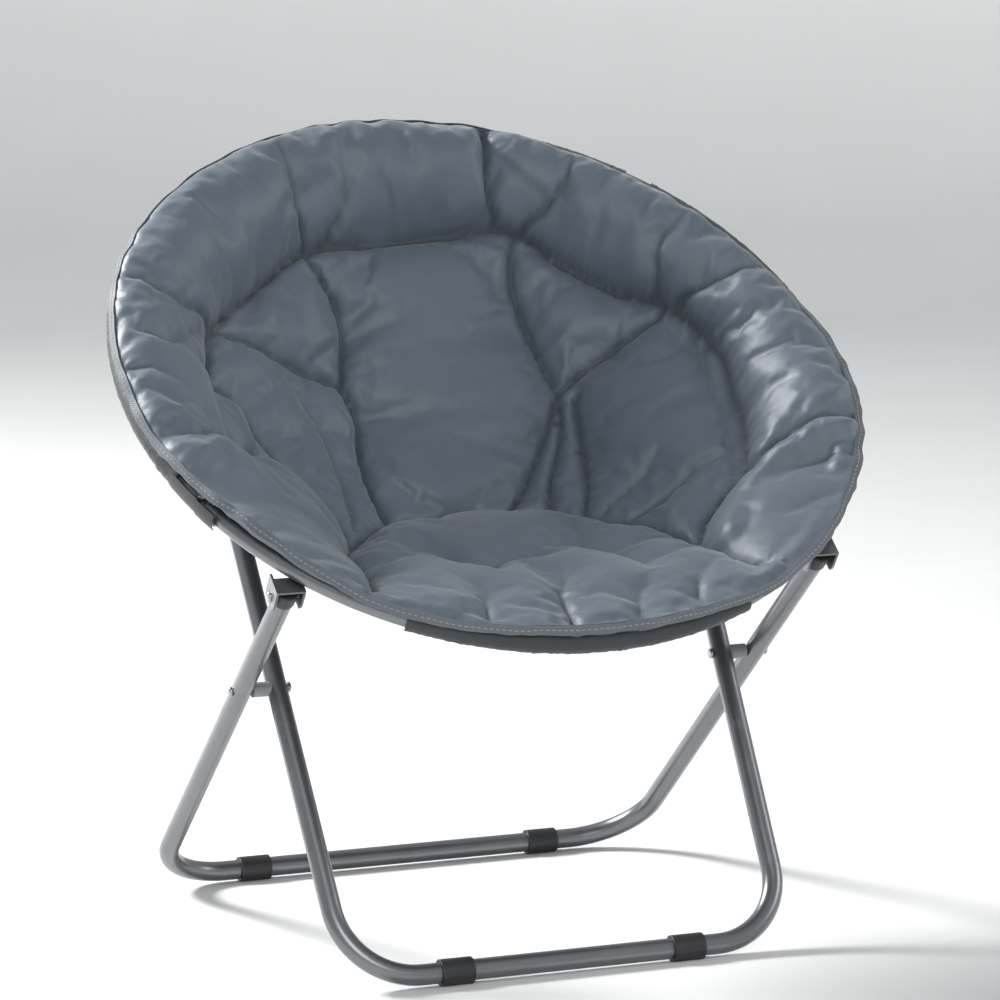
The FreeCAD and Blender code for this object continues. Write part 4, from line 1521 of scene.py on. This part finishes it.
@dataclass
class PaddedCover:
    """The padded cover, in two pieces that part at the hinges."""

    hoop: Hoop
    shape: CoverShape
    finishes: Finishes
    keep: float = 0.13
    under_insets: tuple[float, ...] = (1, 6, 12, 18, 23, 26)
    under_shares: tuple[float, ...] = (0.86, 0.72, 0.58, 0.44, 0.3, 0.16, 0.06)
    edge_wall: float = 2.5 * MM
    edge_wall_most: float = 12 * MM

    def _loop(self, faces: list) -> np.ndarray:
        """The outer points of a sheet, in order.

        Args:
            faces: Faces of the sheet.

        Returns:
            Vertex numbers round its edge, in the faces' own turn.
        """
        sides = np.array([(face[k], face[(k + 1) % 4]) for face in faces for k in range(4)])
        keys = {(int(a), int(b)) for a, b in sides}
        after = {a: b for a, b in keys if (b, a) not in keys}
        start = next(iter(after))
        loop = [start]
        while after[loop[-1]] != start:
            loop.append(after[loop[-1]])
        return np.array(loop)

    def _piece(self, name: str, points: np.ndarray, faces: list, normals: np.ndarray,
               drawn: np.ndarray) -> bpy.types.Object:
        """One closed padded piece from its upper sheet.

        Args:
            name: Name of the piece.
            points: Points of the whole upper surface, in the hoop's plane.
            faces: The faces of this piece.
            normals: Normal at each point of the whole upper surface.
            drawn: Share of a crease at each point of the whole upper surface.

        Returns:
            The piece, in the chair's frame.
        """
        used, numbers = np.unique(np.array(faces), return_inverse=True)
        faces = numbers.reshape(-1, 4)
        upper, normals, drawn = points[used], normals[used], drawn[used]
        loop = self._loop(faces.tolist())
        edge = upper[loop, :2]
        middle = edge.mean(axis=0)
        reach = np.linalg.norm(edge - middle, axis=1, keepdims=True)
        rings = []
        for inset in self.under_insets:
            rings.append(middle + (edge - middle) * (1 - inset * MM / reach))
        inner = rings[-1]
        for share in self.under_shares:
            rings.append(middle + (inner - middle) * share)
        count, first = len(loop), len(upper)
        below = [np.column_stack([ring, self.shape.bottom(ring[:, 0], ring[:, 1])]) for ring in rings]
        heights = upper[loop, 2] - self.edge_wall
        below[0][:, 2] = np.maximum(np.minimum(below[0][:, 2], heights), heights - self.edge_wall_most)
        all_points = np.vstack([upper, *below, [[*middle, self.shape.bottom(*middle[:, None])[0]]]])
        made = [tuple(face) for face in faces]
        ring_index = [loop] + [first + k * count + np.arange(count) for k in range(len(rings))]
        for outer, inner_ring in zip(ring_index, ring_index[1:]):
            for i in range(count):
                j = (i + 1) % count
                made.append((outer[j], outer[i], inner_ring[i], inner_ring[j]))
        last = len(all_points) - 1
        made += [(ring_index[-1][(i + 1) % count], ring_index[-1][i], last) for i in range(count)]
        piece = mesh_object(name, self.hoop.place(all_points), made)
        turned = self.hoop.place(normals) - self.hoop.place(np.zeros(3))
        corner_normals = np.zeros((len(piece.data.loops), 3))
        top_corners = len(faces) * 4
        vertex = np.zeros(len(piece.data.loops), np.int64)
        piece.data.loops.foreach_get("vertex_index", vertex)
        corner_normals[:top_corners] = turned[vertex[:top_corners]]
        piece.data.normals_split_custom_set(corner_normals.tolist())
        radius = np.hypot(all_points[:, 0], all_points[:, 1])
        stretch = 1 + 0.35 * smooth_step(0.05, 0.40, radius)
        # The crease share also darkens the cloth's colour in the material, as painted shade along the
        # creases.
        share = np.concatenate([drawn, np.zeros(len(all_points) - len(upper))])
        mark_weave(piece, np.column_stack([all_points[:, 0] * stretch, all_points[:, 1] * stretch, share]))
        return piece

    def build(self) -> None:
        """Makes and dresses both pieces, and puts each on its body."""
        surface = CoverSurface(self.shape)
        surface.puff()
        points, faces, front, normals, drawn = surface.finer()
        for part, body, chosen in (("rear", Body.REAR_HOOP, ~front), ("front", Body.FRONT_HOOP, front)):
            mine = [face for face, keep in zip(faces, chosen) if keep]
            piece = self._piece(part + "_padded_cover", points, mine, normals, drawn)
            piece.data.materials.append(self.finishes.seat_cloth)
            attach(piece, body.value)
            self.hoop.up()
            self.hoop.fold_anchor()
            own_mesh(piece)
            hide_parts(part + "_cushion")
            log.info("%s: %d points", piece.name, len(piece.data.vertices))


def main() -> None:
    """Builds the chair's looks in order."""
    logging.basicConfig(level=logging.INFO, format="%(message)s", stream=sys.stdout)
    hoop = Hoop()
    shape = CoverShape(hoop)
    finishes = Finishes()
    finishes.dress_frame()
    PaddedCover(hoop, shape, finishes).build()
    BaseCloth(hoop, shape, finishes).build()
    Sleeves(hoop, finishes).build()
    Binding(hoop, shape, finishes).build()
    Stage().build()


if __name__ == "__main__":
    main()
